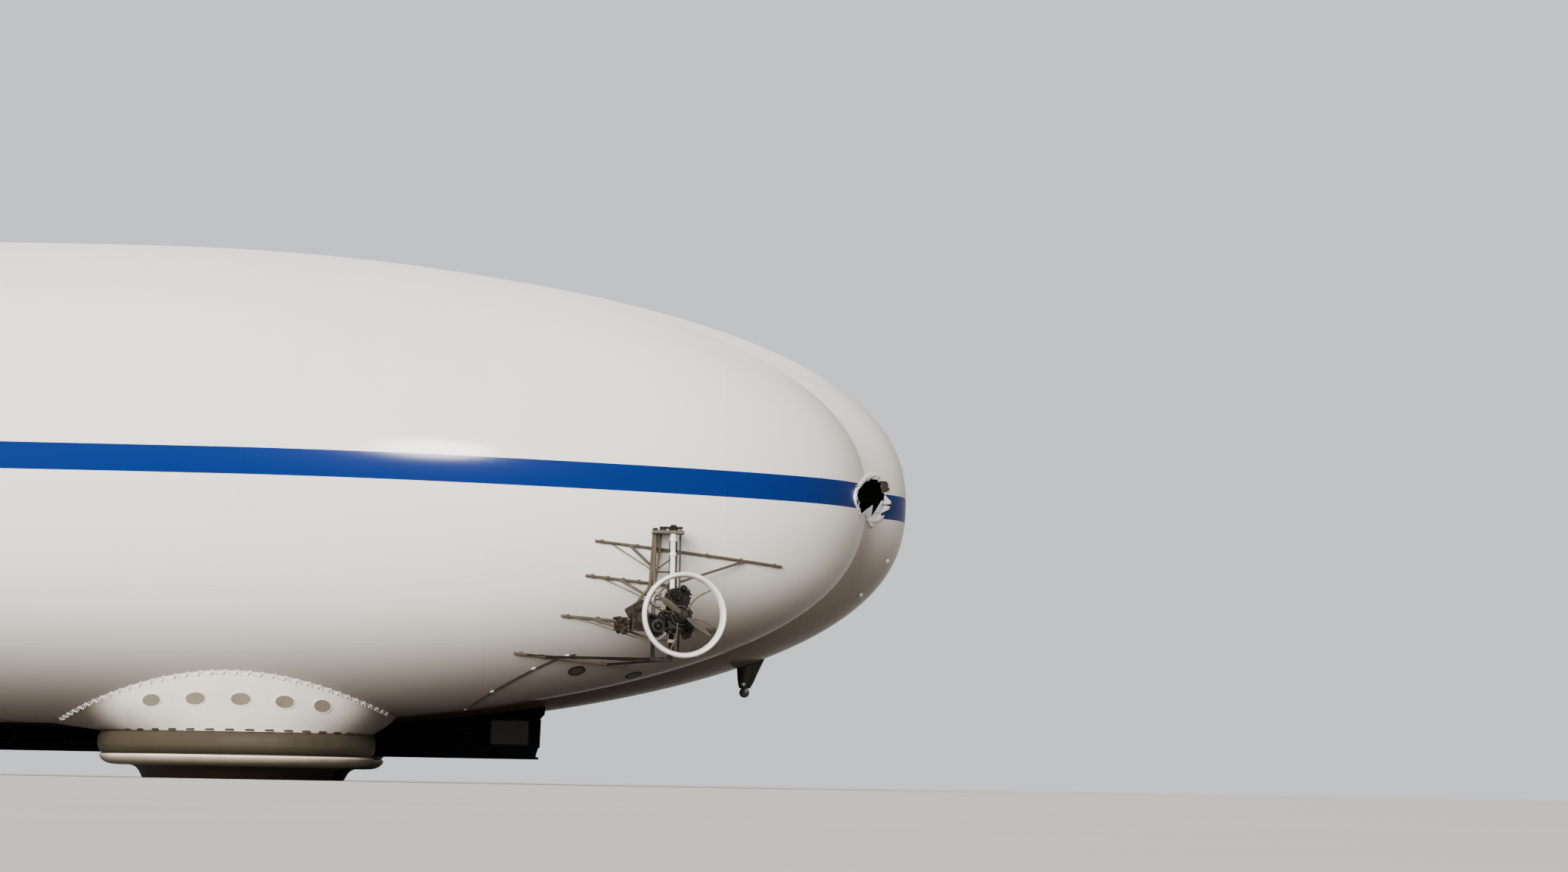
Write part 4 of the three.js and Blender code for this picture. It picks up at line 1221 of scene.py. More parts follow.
@dataclass
class Tear:
    """The torn hole beside the nose, and its flaps."""

    centre: Vector = field(default_factory=lambda: Vector((17.594, -2.75, 5.307)))
    yaw: float = -95.2
    drop: float = 3.8
    reach: float = 1.9
    across: float = 0.86
    radii: tuple[float, ...] = (
        0.3, 0.262, 0.318, 0.33, 0.285, 0.34, 0.352, 0.296, 0.268, 0.35, 0.402, 0.372, 0.366, 0.29,
    )
    jag: float = 0.012
    petals: tuple[Petal, ...] = (
        # first and last angle on the rim, tip across and up, bluntness, lift
        Petal(62, 118, (0.035, 0.4), 0.45, 0.05),
        Petal(116, 152, (-0.19, 0.255), 0.8, 0.035),
        Petal(155, 203, (-0.305, -0.02), 0.6, 0.045),
        Petal(205, 240, (-0.245, -0.275), 0.85, 0.015),
        # the flap at the upper right, dark with painted shade
        Petal(14, 62, (0.292, 0.185), 0.75, 0.04, shade_painted=True),
        Petal(-31, 6, (0.35, -0.135), 0.16, 0.035),
        Petal(-60, -33, (0.325, -0.215), 0.3, 0.03),
        Petal(-118, -88, (0.016, -0.173), 0.05, 0.03),
        Petal(-86, -54, (0.185, -0.094), 0.05, 0.04),
        Petal(-110, -54, (0.075, -0.475), 0.75, 0.025),
        Petal(-103, -92, (-0.004, -0.575), 0.45, 0.045),
    )
    curls: tuple[tuple[tuple[float, float, float], ...], ...] = (
        # rolled edges: across, up, thickness
        ((0.16, 0.35, 0.014), (0.04, 0.385, 0.03), (-0.06, 0.36, 0.042), (-0.14, 0.285, 0.036),
         (-0.19, 0.2, 0.024), (-0.235, 0.13, 0.02)),
        ((-0.235, 0.15, 0.016), (-0.285, 0.06, 0.034), (-0.3, -0.04, 0.034), (-0.275, -0.15, 0.022),
         (-0.225, -0.26, 0.012)),
        ((-0.1, -0.445, 0.01), (-0.02, -0.47, 0.026), (0.08, -0.465, 0.03), (0.17, -0.43, 0.022),
         (0.25, -0.37, 0.01)),
        ((0.0, -0.48, 0.022), (0.015, -0.54, 0.028), (0.035, -0.585, 0.016)),
    )
    steps: int = 9
    columns: int = 9
    above: float = 2.2
    thickness: float = 0.005

    def axes(self) -> tuple[Vector, Vector, Vector]:
        """The directions across, up and out of the tear.

        Returns:
            The three directions.
        """
        turn, fall = radians(self.yaw), radians(self.drop)
        level = Vector((cos(turn), sin(turn), 0))
        out = level * cos(fall) - Vector((0, 0, sin(fall)))
        across = Vector((-level.y, level.x, 0))
        return across, out.cross(across), out

    def edge(self, degrees: float) -> Vector:
        """The outline's point at an angle, in the plane through the centre.

        Args:
            degrees: The angle.

        Returns:
            The point.
        """
        count = len(self.radii)
        share = (degrees % 360) / 360 * count
        first = int(share) % count
        rest = share - int(share)
        radius = self.radii[first] * (1 - rest) + self.radii[(first + 1) % count] * rest
        radius += self.jag * sin(radians(degrees * 17)) + 0.6 * self.jag * sin(radians(degrees * 41))
        across, up, _ = self.axes()
        turn = radians(degrees)
        place = across * (self.across * radius * cos(turn)) + up * (radius * sin(turn))
        return self.centre + place

    def cutter(self) -> Shape:
        """The solid that cuts the hole.

        Returns:
            The solid.
        """
        _, _, out = self.axes()
        outline = [self.edge(3 * i) for i in range(120)]
        rows = [[p + out * reach for p in outline] for reach in (-self.reach, self.reach)]
        return Shape().grid(rows, around=True, caps=True)

    def flap(self, hull: Hull, petal: Petal, index: int) -> list[list[Vector]]:
        """Rows of points of one flap, from the rim to its tip.

        Args:
            hull: The hull that it hangs on.
            petal: The flap.
            index: Its number, which its ragged edge follows.

        Returns:
            The rows.
        """
        across, up, out = self.axes()
        ragged = random.Random(index)
        turns = np.linspace(petal.start, petal.end, self.columns)
        base = [self.edge(t) for t in turns]
        middle = self.edge((petal.start + petal.end) / 2)
        tip = self.centre + across * petal.tip[0] + up * petal.tip[1]
        reach = [1 + ragged.uniform(-0.1, 0.1) for _ in turns]
        rows = []
        for i in range(self.steps):
            part = i / (self.steps - 1)
            width = petal.blunt + (1 - petal.blunt) * (1 - part**1.4)
            row = []
            for j, start in enumerate(base):
                point = middle + (tip - middle) * part * reach[j] + (start - middle) * width
                place, normal = hull.onto(point + out * self.above, -out)
                curl = petal.lift * part**1.3 + 0.4 * petal.lift * part * sin(2.2 * j + index)
                row.append(place + normal * (0.004 + curl))
            rows.append(row)
        return rows

    def curled(self, hull: Hull, curl: Sequence[tuple[float, float, float]]) -> list[list[Vector]]:
        """Rings of points of a rolled edge that lies on the hull.

        Args:
            hull: The hull that it lies on.
            curl: Its places across and up, with its thickness at each.

        Returns:
            The rings.
        """
        across, up, out = self.axes()
        spots = []
        for point in curve_through(curl, 6):
            start = self.centre + across * point.x + up * point.y + out * self.above
            place, normal = hull.onto(start, -out, 0.6 * point.z)
            spots.append((place, normal, point.z))
        rings = []
        for i, along in enumerate(headings([spot[0] for spot in spots])):
            place, normal, thick = spots[i]
            aside = normal.cross(along).normalized()
            thick *= 1 + 0.12 * sin(2.3 * i)
            turns = [(cos(t) * 1.15, sin(t) * 0.8) for t in circle(16)]
            rings.append([place + (aside * a + normal * b) * thick for a, b in turns])
        return rings

    def build(self, hull: Hull) -> None:
        """Makes the flaps around the hole.

        Args:
            hull: The hull that they hang on.
        """
        # the dark flap is painted shade; the others are white torn cloth
        for name, finish, shade_painted in (("Tear flaps", Paints.TORN, False), ("Tear lining", Paints.SHADED_FLAP_CLOTH, True)):
            shape = Shape()
            for index, petal in enumerate(self.petals):
                if petal.shade_painted is shade_painted:
                    shape.grid(self.flap(hull, petal, index))
            for curl in () if shade_painted else self.curls:
                shape.grid(self.curled(hull, curl), around=True, caps=True)
            wall = piece(name, shape, finish, "envelope").modifiers.new("Cloth thickness", "SOLIDIFY")
            wall.thickness = self.thickness
            wall.offset = 0.0


# The air-cushion pads


@dataclass
class Pad:
    """One pad: a skirt laced to the hull, standing on an inflated ring."""

    end: str
    hand: str
    hull: Hull
    lace_long: float = 3.02
    lace_wide: float = 2.645
    lace_behind: float = 0.2
    foot: float = 2.395
    seam_z: float = 0.71
    wall: float = 0.006
    seams: int = 24
    columns: int = 180
    rows: int = 22
    ports: tuple[float, ...] = (-26, -10, 6, 22, 37)
    port_size: tuple[float, float] = (0.185, 0.118)
    port_rise: float = 0.56
    port_fall: float = 0.25
    laces: int = 88
    laced: float = 0.955
    dashes: int = 44
    lace_part: float = 0.97
    dash_part: float = 0.03

    def __post_init__(self) -> None:
        """Sets the pad's names, and takes its middle from its CAD cushion."""
        self.name, self.tag = f"{self.end}_{self.hand}", f"{self.end} {self.hand}"
        low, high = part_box(f"pad_cushion_{self.name}")
        self.x, self.y = (low.x + high.x) / 2, (low.y + high.y) / 2

    def skirt_point(self, turn: float, part: float, out: float = 0.0) -> Vector:
        """A point of the skirt.

        Args:
            turn: Angle around the pad, in radians.
            part: Share of the way up, from the seam to the lacing.
            out: How far off the cloth.

        Returns:
            The point.
        """
        billow = 0.055 * sin(pi * part)
        gather = 0.006 * sin(self.laces * turn) * (part**8 + (1 - part) ** 8)
        foot, more = self.foot, billow + gather + out
        long, wide = (foot + (lace - foot) * part + more for lace in (self.lace_long, self.lace_wide))
        middle = self.x - self.lace_behind
        top = self.hull.below(middle + self.lace_long * cos(turn), self.y + self.lace_wide * sin(turn)).z
        x = self.x - self.lace_behind * part + long * cos(turn)
        return Vector((x, self.y + wide * sin(turn), self.seam_z + (top - self.seam_z) * part))

    def sewn(self, turn: float, part: float, out: float) -> tuple[Vector, Vector, Vector]:
        """Where something is sewn on the skirt.

        Args:
            turn: Angle around the pad, in radians.
            part: Share of the way up.
            out: How far off the cloth.

        Returns:
            The place, the cloth's outward direction there and the direction around the pad.
        """
        step = 0.01
        around = self.skirt_point(turn + step, part) - self.skirt_point(turn - step, part)
        rise = self.skirt_point(turn, min(1, part + step)) - self.skirt_point(turn, max(0, part - step))
        return self.skirt_point(turn, part, out), around.cross(rise).normalized(), around.normalized()

    def build(self) -> None:
        """Makes the skirt, the ring and what is sewn on them."""
        parts, turns = [i / (self.rows - 1) for i in range(self.rows)], circle(self.columns)
        outer, inner = (
            [[self.skirt_point(t, p, out) for t in turns] for p in parts] for out in (0.0, -self.wall)
        )
        skirt = Shape().grid(outer + inner[::-1] + [outer[0]], around=True)
        piece(f"Skirt {self.tag}", skirt, Paints.SKIRT, "skirt", [f"pad_skirt_{self.name}"])
        self.build_cushion()
        self.build_lacing()
        self.build_ports()

    def build_cushion(self) -> None:
        """Makes the inflated ring, pulled in a little at its radial seams."""
        profile = [
            # radius, height, share of the seams' pull
            (0.0, 0.675, 0), (1.38, 0.675, 0), (1.415, 0.64, 0.2), (1.43, 0.4, 0.5), (1.45, 0.06, 0.5),
            (1.475, -0.07, 0.3), (1.5, -0.12, 0), (1.65, -0.12, 0), (1.678, -0.105, 0.4), (1.705, -0.05, 0.6),
            (1.745, 0.02, 0.4), (1.8, 0.075, 0.2), (1.87, 0.104, 0.2), (1.96, 0.112, 0.5), (2.09, 0.108, 0.7),
            (2.21, 0.115, 0.8), (2.3, 0.135, 1), (2.37, 0.172, 1), (2.415, 0.215, 1), (2.437, 0.255, 1),
            (2.44, 0.282, 0.8), (2.428, 0.3, 0.5), (2.402, 0.312, 0.3), (2.402, 0.322, 0.3),
            (2.43, 0.345, 0.5), (2.455, 0.39, 0.8), (2.47, 0.45, 1), (2.476, 0.52, 1), (2.47, 0.595, 1),
            (2.448, 0.655, 0.9), (2.415, 0.695, 0.5), (2.395, 0.708, 0.2), (2.36, 0.7095, 0),
            (0.0, 0.7095, 0),
        ]
        ring = Shape(Matrix.Translation((self.x, self.y, 0)))
        rows = []
        for radius, height, pull in profile:
            row = []
            for t in circle(self.columns):
                dip = abs(cos(self.seams * t / 2)) ** 14
                sway = 0.0025 * sin(5 * t + 9 * height) + 0.0015 * sin(13 * t - 17 * height)
                reach = radius - pull * (0.011 * dip - sway)
                row.append((reach * cos(t), reach * sin(t), height))
            rows.append(row)
        ring.grid(rows, around=True)
        nodes = [f"pad_cushion_{self.name}"]
        cushion = piece(f"Cushion {self.tag}", ring, Paints.CUSHION, "cushion", nodes)

    def build_lacing(self) -> None:
        """Makes the laces at the top edge and the dashes of the seam below."""
        lace = Shape().box((-0.02, 0.03, 0.0), (0.02, 0.05, 0.014))
        for side in (-1, 1):
            path = [(side * 0.06, -0.045, 0.008), (side * 0.03, 0.0, 0.02), (0, 0.04, 0.008)]
            lace.tube(curve_through(path, 4), 0.01, 6)
        turns = [2 * pi * (j + 0.5) / self.laces for j in range(self.laces)]
        spots = [self.sewn(t, self.lace_part, 0.004) for t in turns if abs(cos(t)) < self.laced]
        hems = [
            ([self.skirt_point(t, part, 0.006) for t in arc(80, start, start + 144)], radius)
            for part, radius in ((0.945, 0.004), (0.995, 0.005))
            for start in (18, 198)
        ]
        laces = repeated(lace, spots, Paints.CORD)
        piece(f"Lacing {self.tag}", joined(laces, tubework(hems, Paints.CORD, 8)), Paints.CORD, "skirt")
        dash = Shape().box((-0.075, -0.016, -0.004), (0.075, 0.016, 0.012))
        spots = [self.sewn(t, self.dash_part, 0.002) for t in circle(self.dashes)]
        piece(f"Seam dashes {self.tag}", repeated(dash, spots, Paints.DASH), Paints.DASH, "skirt")

    def build_ports(self) -> None:
        """Makes the oval vents around the skirt: a sewn rim and a mesh panel in each."""
        long, high = self.port_size
        oval = [(long * cos(t), high * sin(t)) for t in circle(32)]
        rim = Shape().stack(oval, ((0.93, -0.006), (0.93, 0.007), (1.04, 0.008), (1.06, -0.006)))
        panel = Shape().stack(oval, [(k, 0.004 - 0.01 * (1 - k)) for k in (0.95, 0.7, 0.4, 0.02)], caps=True)
        spots = []
        side = copysign(1, self.y)
        for outward in (side, -side):
            for degrees in self.ports:
                turn = radians(outward * (90 - degrees))
                rise = self.port_rise - self.port_fall * sin(radians(degrees)) ** 2
                spots.append(self.sewn(turn, rise / (self.skirt_point(turn, 1).z - self.seam_z), 0.001))
        piece(f"Vent rims {self.tag}", repeated(rim, spots, Paints.SKIRT), Paints.SKIRT, "skirt")
        piece(f"Vent mesh {self.tag}", repeated(panel, spots, Paints.SHADE), Paints.SHADE, "skirt")


# The propulsors


def heap(seed: int, low: Sequence[float], high: Sequence[float], count: int) -> Shape:
    """Fills a box with small housings, ribbed drums and pipes, as an engine's accessories look.

    Args:
        seed: Picks the arrangement.
        low: The box's lowest corner.
        high: Its highest corner.
        count: Number of parts.

    Returns:
        The parts.
    """
    draw = random.Random(seed).uniform
    span = Vector(high) - Vector(low)
    shape = Shape()

    def spot(margin: float) -> Vector:
        """A place inside the box, away from its sides."""
        return Vector(a + v * draw(margin, 1 - margin) for a, v in zip(low, span))

    for i in range(count):
        shape.place = Matrix.Identity(4)
        if i % 3 == 2:
            radius = draw(0.01, 0.018)
            shape.tube(curve_through([spot(0.1) for _ in range(3)], 6), radius, 9)
            continue
        turn = Matrix.Rotation(draw(-0.5, 0.5), 4, "X") @ Matrix.Rotation(draw(-0.4, 0.4), 4, "Y")
        shape.place = Matrix.Translation(spot(0.26)) @ turn
        size = min(span) * draw(0.2, 0.34)
        if i % 3 == 0:
            deep, wide, tall = (size * draw(0.55, 1.0) for _ in range(3))
            shape.box((-deep, -wide, -tall), (deep, wide, tall))
            for k in range(4):
                z = tall * (0.5 * k - 0.75)
                shape.box((-deep * 1.06, -wide * 1.06, z), (deep * 1.06, wide * 1.06, z + tall * 0.14))
        else:
            long = size * draw(0.8, 1.5)
            profile = [(0, -long), (size * 0.6, -long)]
            for k in range(4):
                z = long * (0.5 * k - 0.9)
                rib = ((0.66, 0), (0.72, 0.05), (0.72, 0.2), (0.62, 0.25))
                profile += [(size * r, z + long * d) for r, d in rib]
            profile += [(size * 0.45, long), (0, long)]
            axis = Vector((draw(-1, 1), draw(-1, 1), draw(-1, 1)))
            shape.turned(profile, 18, axis_place((0, 0, 0), axis))
    shape.place = Matrix.Identity(4)
    return shape


@dataclass
class Propulsor:
    """An engine, ring and propeller on their post, and the frame that holds them."""

    end: str
    hand: str
    side: int
    hull: Hull
    joints: dict[str, Any]
    post_radius: float = 0.05
    ring_x: float = 0.91
    ring_outer: float = 0.735
    ring_inner: float = 0.644
    ring_deep: float = 0.22
    crank_radius: float = 0.15
    cylinders: tuple[tuple[float, float], ...] = ((97, 0.43), (200, 0.45), (318, 0.36))
    struts: tuple[float, ...] = (42, 160, 250, 340)
    bank_x: float = 0.47
    blade_turn: float = 55.0
    blade_span: tuple[float, float] = (0.055, 0.594)
    blade_rows: int = 20
    # where the white post gives way to its dark foot, which is painted shade under the engine
    waist: float = -0.2

    def __post_init__(self) -> None:
        """Takes the place from the frame: the post's joint, and the ring's direction from it."""
        self.name = f"{self.end}_{self.hand}"
        self.tag = f"{self.end} {self.hand}"
        self.thruster = f"thruster_{self.name}"
        self.origin = Vector(self.joints[f"swivel_{self.name}"])
        low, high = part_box(f"ring_{self.name}")
        ring = (low + high) / 2
        spin = self.joints[f"spin_{self.name}"]
        toward = atan2(spin[1] - self.origin.y, spin[0] - self.origin.x)
        self.origin.z = ring.z - DATUM
        mirror = Matrix.Diagonal((1, -self.side, 1, 1))
        self.place = Matrix.Translation(self.origin) @ Matrix.Rotation(toward, 4, "Z") @ mirror
        self.post_low, self.post_top = (v.z - ring.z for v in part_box(f"post_{self.name}"))

    def out(self, angle: float, distance: float, x: float) -> Vector:
        """A point around the thrust line, in the pod's own frame."""
        return Vector((x, distance * cos(radians(angle)), distance * sin(radians(angle))))

    def add(self, label: str, parts: Sequence[Any], finish: Finish, slot: str, **more: Any) -> None:
        """Makes one piece of the pod.

        Args:
            label: What it is.
            parts: Its shapes and meshes, in the pod's own frame.
            finish: Its finish.
            slot: The record's material slot.
            more: Other values for piece(); without a body it swivels with the pod.
        """
        mesh = joined(*parts)
        mesh.transform(self.place)
        if self.place.determinant() < 0:
            mesh.flip_normals()
        piece(f"{label} {self.tag}", mesh, finish, slot, **{"body": f"thruster_{self.name}", **more})

    def build(self) -> None:
        """Makes the pod and its frame."""
        self.build_engine()
        self.build_plumbing()
        self.build_post()
        self.build_ring()
        self.build_propeller()
        frames = {"front": self.build_front_frame, "stern": self.build_stern_frame}
        frames[self.end]()

    def build_engine(self) -> None:
        """Makes the crankcase and the finned cylinders."""
        case = Shape().turned(
            [
                (0, 0.2), (0.105, 0.2), (0.118, 0.212), (0.118, 0.265), (0.15, 0.285), (0.15, 0.355),
                (0.14, 0.365), (0.14, 0.565), (0.15, 0.575), (0.15, 0.622), (0.125, 0.645),
                (0.125, 0.69), (0.085, 0.702), (0.062, 0.712), (0.06, 0.755), (0.026, 0.762),
                (0.021, 0.785), (0.02, 0.894), (0, 0.894),
            ],
            40, ALONG_X,
        )
        for y, z in ((0.12, 0.18), (-0.12, 0.18), (0.12, -0.18), (-0.12, -0.18)):
            case.box((0.15, y - 0.022, z - 0.03), (0.225, y + 0.022, z + 0.03))
            case.tube([(0.21, y, z), (0.3, y * 0.6, z * 0.55)], 0.02, 10)
        case.box((0.15, -0.135, -0.2), (0.166, 0.135, 0.2))
        bolts = [
            (self.out(a, 0.142, x), (direction, 0, 0), self.out(a, 1, 0))
            for x, direction in ((0.355, 1), (0.622, 1), (0.285, -1))
            for a in range(0, 360, 30)
        ]
        barrels, fins, plugs = Shape(), [], []
        for angle, reach in self.cylinders:
            start, outward = self.out(angle, 0.1, self.bank_x), self.out(angle, 1, 0)
            at = axis_place(start, outward, (1, 0, 0))
            head = reach - 0.205
            top = [(0.066, -0.01), (0.098, 0.0), (0.098, 0.035), (0.07, 0.06), (0.052, 0.105), (0, 0.108)]
            barrels.turned([(0, 0), (0.088, 0), (0.088, 0.035), (0.066, 0.05), (0.066, head + 0.005)], 28, at)
            barrels.turned([(r, head + z) for r, z in top], 28, at)
            levels = [0.058 + 0.0125 * k for k in range(13)] + [head + 0.012 * k + 0.004 for k in range(5)]
            fins += [(start + outward * level, outward, (1, 0, 0)) for level in levels]
            spot = start + outward * (head + 0.07) + Vector((-0.075, 0, 0))
            plugs.append((spot, outward + Vector((-0.8, 0, 0)), (0, 0, 1)))
        bolt = Shape().turned([(0, 0), (0.01, 0), (0.01, 0.01), (0, 0.012)], 6)
        square = [tuple(0.104 * max(-1, min(1, 1.25 * v)) for v in (cos(t), sin(t))) for t in circle(24)]
        fin = Shape().stack(square, ((0.6, -0.0022), (1, -0.0014), (1, 0.0014), (0.6, 0.0022)))
        parts = [case, barrels, repeated(bolt, bolts, Paints.IRON), repeated(fin, fins, Paints.IRON)]
        self.add("Engine", parts, Paints.IRON, "engine", replaced=[f"engine_{self.name}"])
        plug = Shape().turned(
            [
                (0, 0), (0.012, 0), (0.012, 0.012), (0.008, 0.014), (0.008, 0.04), (0.005, 0.042),
                (0.005, 0.055), (0, 0.056),
            ],
            10,
        )
        self.add("Spark plugs", [repeated(plug, plugs, Paints.BRIGHT)], Paints.BRIGHT, "engine")

    def build_plumbing(self) -> None:
        """Makes the pushrod tubes, pipes, pulley, wires and the accessories that crowd the engine."""
        bright, dark, rubber = Shape(), Shape(), Shape()

        def near(angle: float, distance: float, ahead: float) -> Vector:
            """A point around the thrust line, so far ahead of the cylinders."""
            return self.out(angle, distance, self.bank_x + ahead)

        for angle, reach in self.cylinders:
            for spread in (-15, 15):
                ends = [near(angle + spread, 0.135, 0.1), near(angle + spread * 0.35, reach - 0.1, 0.085)]
                dark.tube(ends, 0.009, 8)
            pipe = [
                near(angle - 40, 0.13, -0.2), near(angle - 30, reach * 0.62, -0.15),
                near(angle - 14, reach - 0.11, -0.07),
            ]
            dark.tube(curve_through(pipe, 7), 0.019, 10)
            pipe = [
                near(angle + 12, reach - 0.12, 0.03), near(angle + 34, reach - 0.14, 0.01),
                near(angle + 52, 0.2, -0.1), (0.27, -0.1, -0.23),
            ]
            dark.tube(curve_through(pipe, 6), 0.021, 10)
            lead = [near(angle, reach - 0.03, -0.1), near(angle - 20, reach * 0.55, -0.17)]
            rubber.tube(curve_through([*lead, (0.26, 0.02, 0.13)], 6), 0.006, 6)
        pipes = (
            # radius, points
            (0.026, (0.4, -0.3, 0.37), (0.44, -0.4, 0.34), (0.46, -0.45, 0.25), (0.44, -0.4, 0.17),
             (0.42, -0.3, 0.15)),
            (0.021, (0.5, -0.17, -0.2), (0.52, -0.22, -0.29), (0.5, -0.31, -0.38), (0.46, -0.37, -0.41)),
            (0.014, (0.6, -0.06, 0.07), (0.66, -0.1, 0.02), (0.66, -0.16, 0.03)),
        )
        for radius, *path in pipes:
            bright.tube(curve_through(path, 6), radius, 12)
        y, z = -0.385, -0.185
        wheel = [
            (0, 0), (0.118, 0), (0.118, 0.008), (0.106, 0.018), (0.118, 0.028), (0.118, 0.036),
            (0.07, 0.04), (0.05, 0.02), (0.03, 0.045), (0, 0.045),
        ]
        dark.turned(wheel, 36, axis_place((0.6, y, z), (1, 0, 0)))
        belt = [(0.618, y + 0.112 * cos(t), z + 0.112 * sin(t)) for t in arc(16, 115, 300)]
        belt += [(0.618, 0.09 * cos(t), 0.09 * sin(t)) for t in arc(10, -60, 100)]
        rubber.tube([*belt, belt[0]], 0.011, 8)
        masses = (
            # seed, lowest corner, highest corner, number of parts
            (3, (0.26, -0.32, 0.12), (0.6, 0.28, 0.5), 46),
            (4, (0.28, -0.34, -0.32), (0.64, 0.3, 0.15), 54),
            (5, (0.32, -0.54, -0.42), (0.6, -0.27, 0.06), 24),
            (6, (0.34, 0.05, -0.4), (0.56, 0.28, -0.2), 12),
        )
        self.add("Pipes", [bright], Paints.BRIGHT, "engine")
        self.add("Accessories", [dark, *(heap(*mass) for mass in masses)], Paints.IRON, "engine")
        self.add("Belt and leads", [rubber], Paints.RUBBER, "engine")

    def build_post(self) -> None:
        """Makes the upright post, its arms to the engine and its end fittings; below its waist the post is
        painted dark as painted shade under the engine.
        """
        r, low, top, waist = self.post_radius, self.post_low, self.post_top, self.waist
        thin = r - 0.005
        foot = Shape().turned(
            [
                (0, low), (0.029, low), (0.03, low + 0.06), (r, low + 0.065), (r, low + 0.12),
                (thin, low + 0.13), (thin, waist), (0, waist),
            ],
            32,
        )
        post = Shape().turned(
            [
                (0, waist), (thin, waist), (thin, top - 0.13), (r, top - 0.12), (r, top - 0.065),
                (0.03, top - 0.06), (0.029, top), (0, top),
            ],
            32,
        )
        arms = Shape().tube([(0.06, 0, -0.15), (0.06, 0, 0.15)], 0.014, 10)
        for z in (-0.15, 0.15):
            arms.box((0.0, -0.028, z - 0.032), (0.1497, 0.028, z + 0.032))
            wide = r + 0.016
            arms.turned([(0.0, z - 0.045), (wide, z - 0.045), (wide, z + 0.045), (0.0, z + 0.045)], 28)
        clamps, hoses = Shape(), Shape()
        last = top - 0.42 if self.end == "front" else low + 0.16
        for z in (top - 0.16, last, 0.42, -0.42):
            rim = [(0, -0.026), (r + 0.012, -0.026), (r + 0.014, 0), (r + 0.012, 0.026), (0, 0.026)]
            clamps.turned([(reach, z + rise) for reach, rise in rim], 28)
            clamps.box((-0.085, -0.016, z - 0.02), (-0.03, 0.016, z + 0.02))
            clamps.tube([(-0.07, -0.03, z), (-0.07, 0.03, z)], 0.007, 6)
        bend = 0.9 if self.end == "front" else 0.5
        for y, x in ((0.062, -0.03), (0.06, 0.035), (-0.058, -0.035)):
            path = [(x, y, top - 0.2), (x * 0.8, y, bend), (x, y * 1.05, 0.42)]
            hoses.tube(curve_through([*path, (0.1, y * 1.4, 0.24), (0.24, y * 1.2, 0.13)], 7), 0.008, 7)
        self.add("Post", [post], Paints.WHITE, "ring", replaced=[f"post_{self.name}"], bevel=0.002)
        # the post below the waist, in the dark casting finish: painted shade under the engine
        self.add("Post foot", [foot, arms], Paints.IRON, "ring", bevel=0.002)
        self.add("Post clamps", [clamps], Paints.WHITE, "frame", bevel=0.0015)
        self.add("Post hoses", [hoses], Paints.RUBBER, "engine")

    def build_ring(self) -> None:
        """Makes the ring around the propeller and the struts that hold it."""
        x, inner, outer, half = self.ring_x, self.ring_inner, self.ring_outer, self.ring_deep / 2
        section = []
        for t in circle(36):
            thick = (outer - inner) / 2 * copysign(abs(sin(t)) ** 0.9, sin(t))
            section.append(((outer + inner) / 2 + thick + 0.01 * cos(t), x + half * cos(t)))
        ring = Shape().turned([*section, section[0]], 96, ALONG_X)
        struts = Shape()
        foot, foot_x = self.crank_radius + 0.005, 0.665
        for angle in self.struts:
            start, end = self.out(angle, foot, foot_x), self.out(angle, inner + 0.02, x - half + 0.035)
            path = curve_through([start, self.out(angle + 7, (foot + inner) / 2, 0.72), end], 8)
            rows = []
            for p, along in zip(path, headings(path)):
                across = along.cross(Vector((1, 0, 0))).normalized()
                deep = across.cross(along)
                rows.append([p + across * 0.012 * cos(t) + deep * 0.03 * sin(t) for t in circle(12)])
            struts.grid(rows, around=True, caps=True)
            at = axis_place(self.out(angle, foot - 0.012, foot_x), self.out(angle, 1, 0))
            struts.turned([(0, 0), (0.03, 0), (0.026, 0.03), (0, 0.03)], 16, at)
        band = [(0.151, 0.64), (0.178, 0.643), (0.182, 0.665), (0.178, 0.687), (0.151, 0.69), (0.151, 0.64)]
        collar = Shape().turned(band, 40, ALONG_X)
        node = [f"ring_{self.name}"]
        self.add("Ring", [ring], Paints.WHITE, "ring", replaced=node, angle=radians(50))
        self.add("Ring struts", [struts], Paints.TUBE, "ring")
        self.add("Strut collar", [collar], Paints.IRON, "ring")
        at = axis_place(self.out(252, outer - 0.01, x - 0.02), self.out(252, 1, 0))
        knob = [
            (0, -0.02), (0.035, -0.02), (0.04, 0.01), (0.052, 0.03), (0.05, 0.06), (0.03, 0.08), (0, 0.085),
        ]
        spots = [
            (self.out(a, outer + 0.001, x + o), self.out(a, 1, 0), (1, 0, 0))
            for a in range(0, 360, 12)
            for o in (-0.05, 0.05)
        ]
        rivet = Shape().turned([(0.007, 0), (0.006, 0.003), (0.003, 0.005), (0, 0.0055)], 8)
        self.add("Ring fitting", [Shape().turned(knob, 20, at)], Paints.IRON, "engine")
        self.add("Ring rivets", [repeated(rivet, spots, Paints.BRIGHT)], Paints.BRIGHT, "ring")

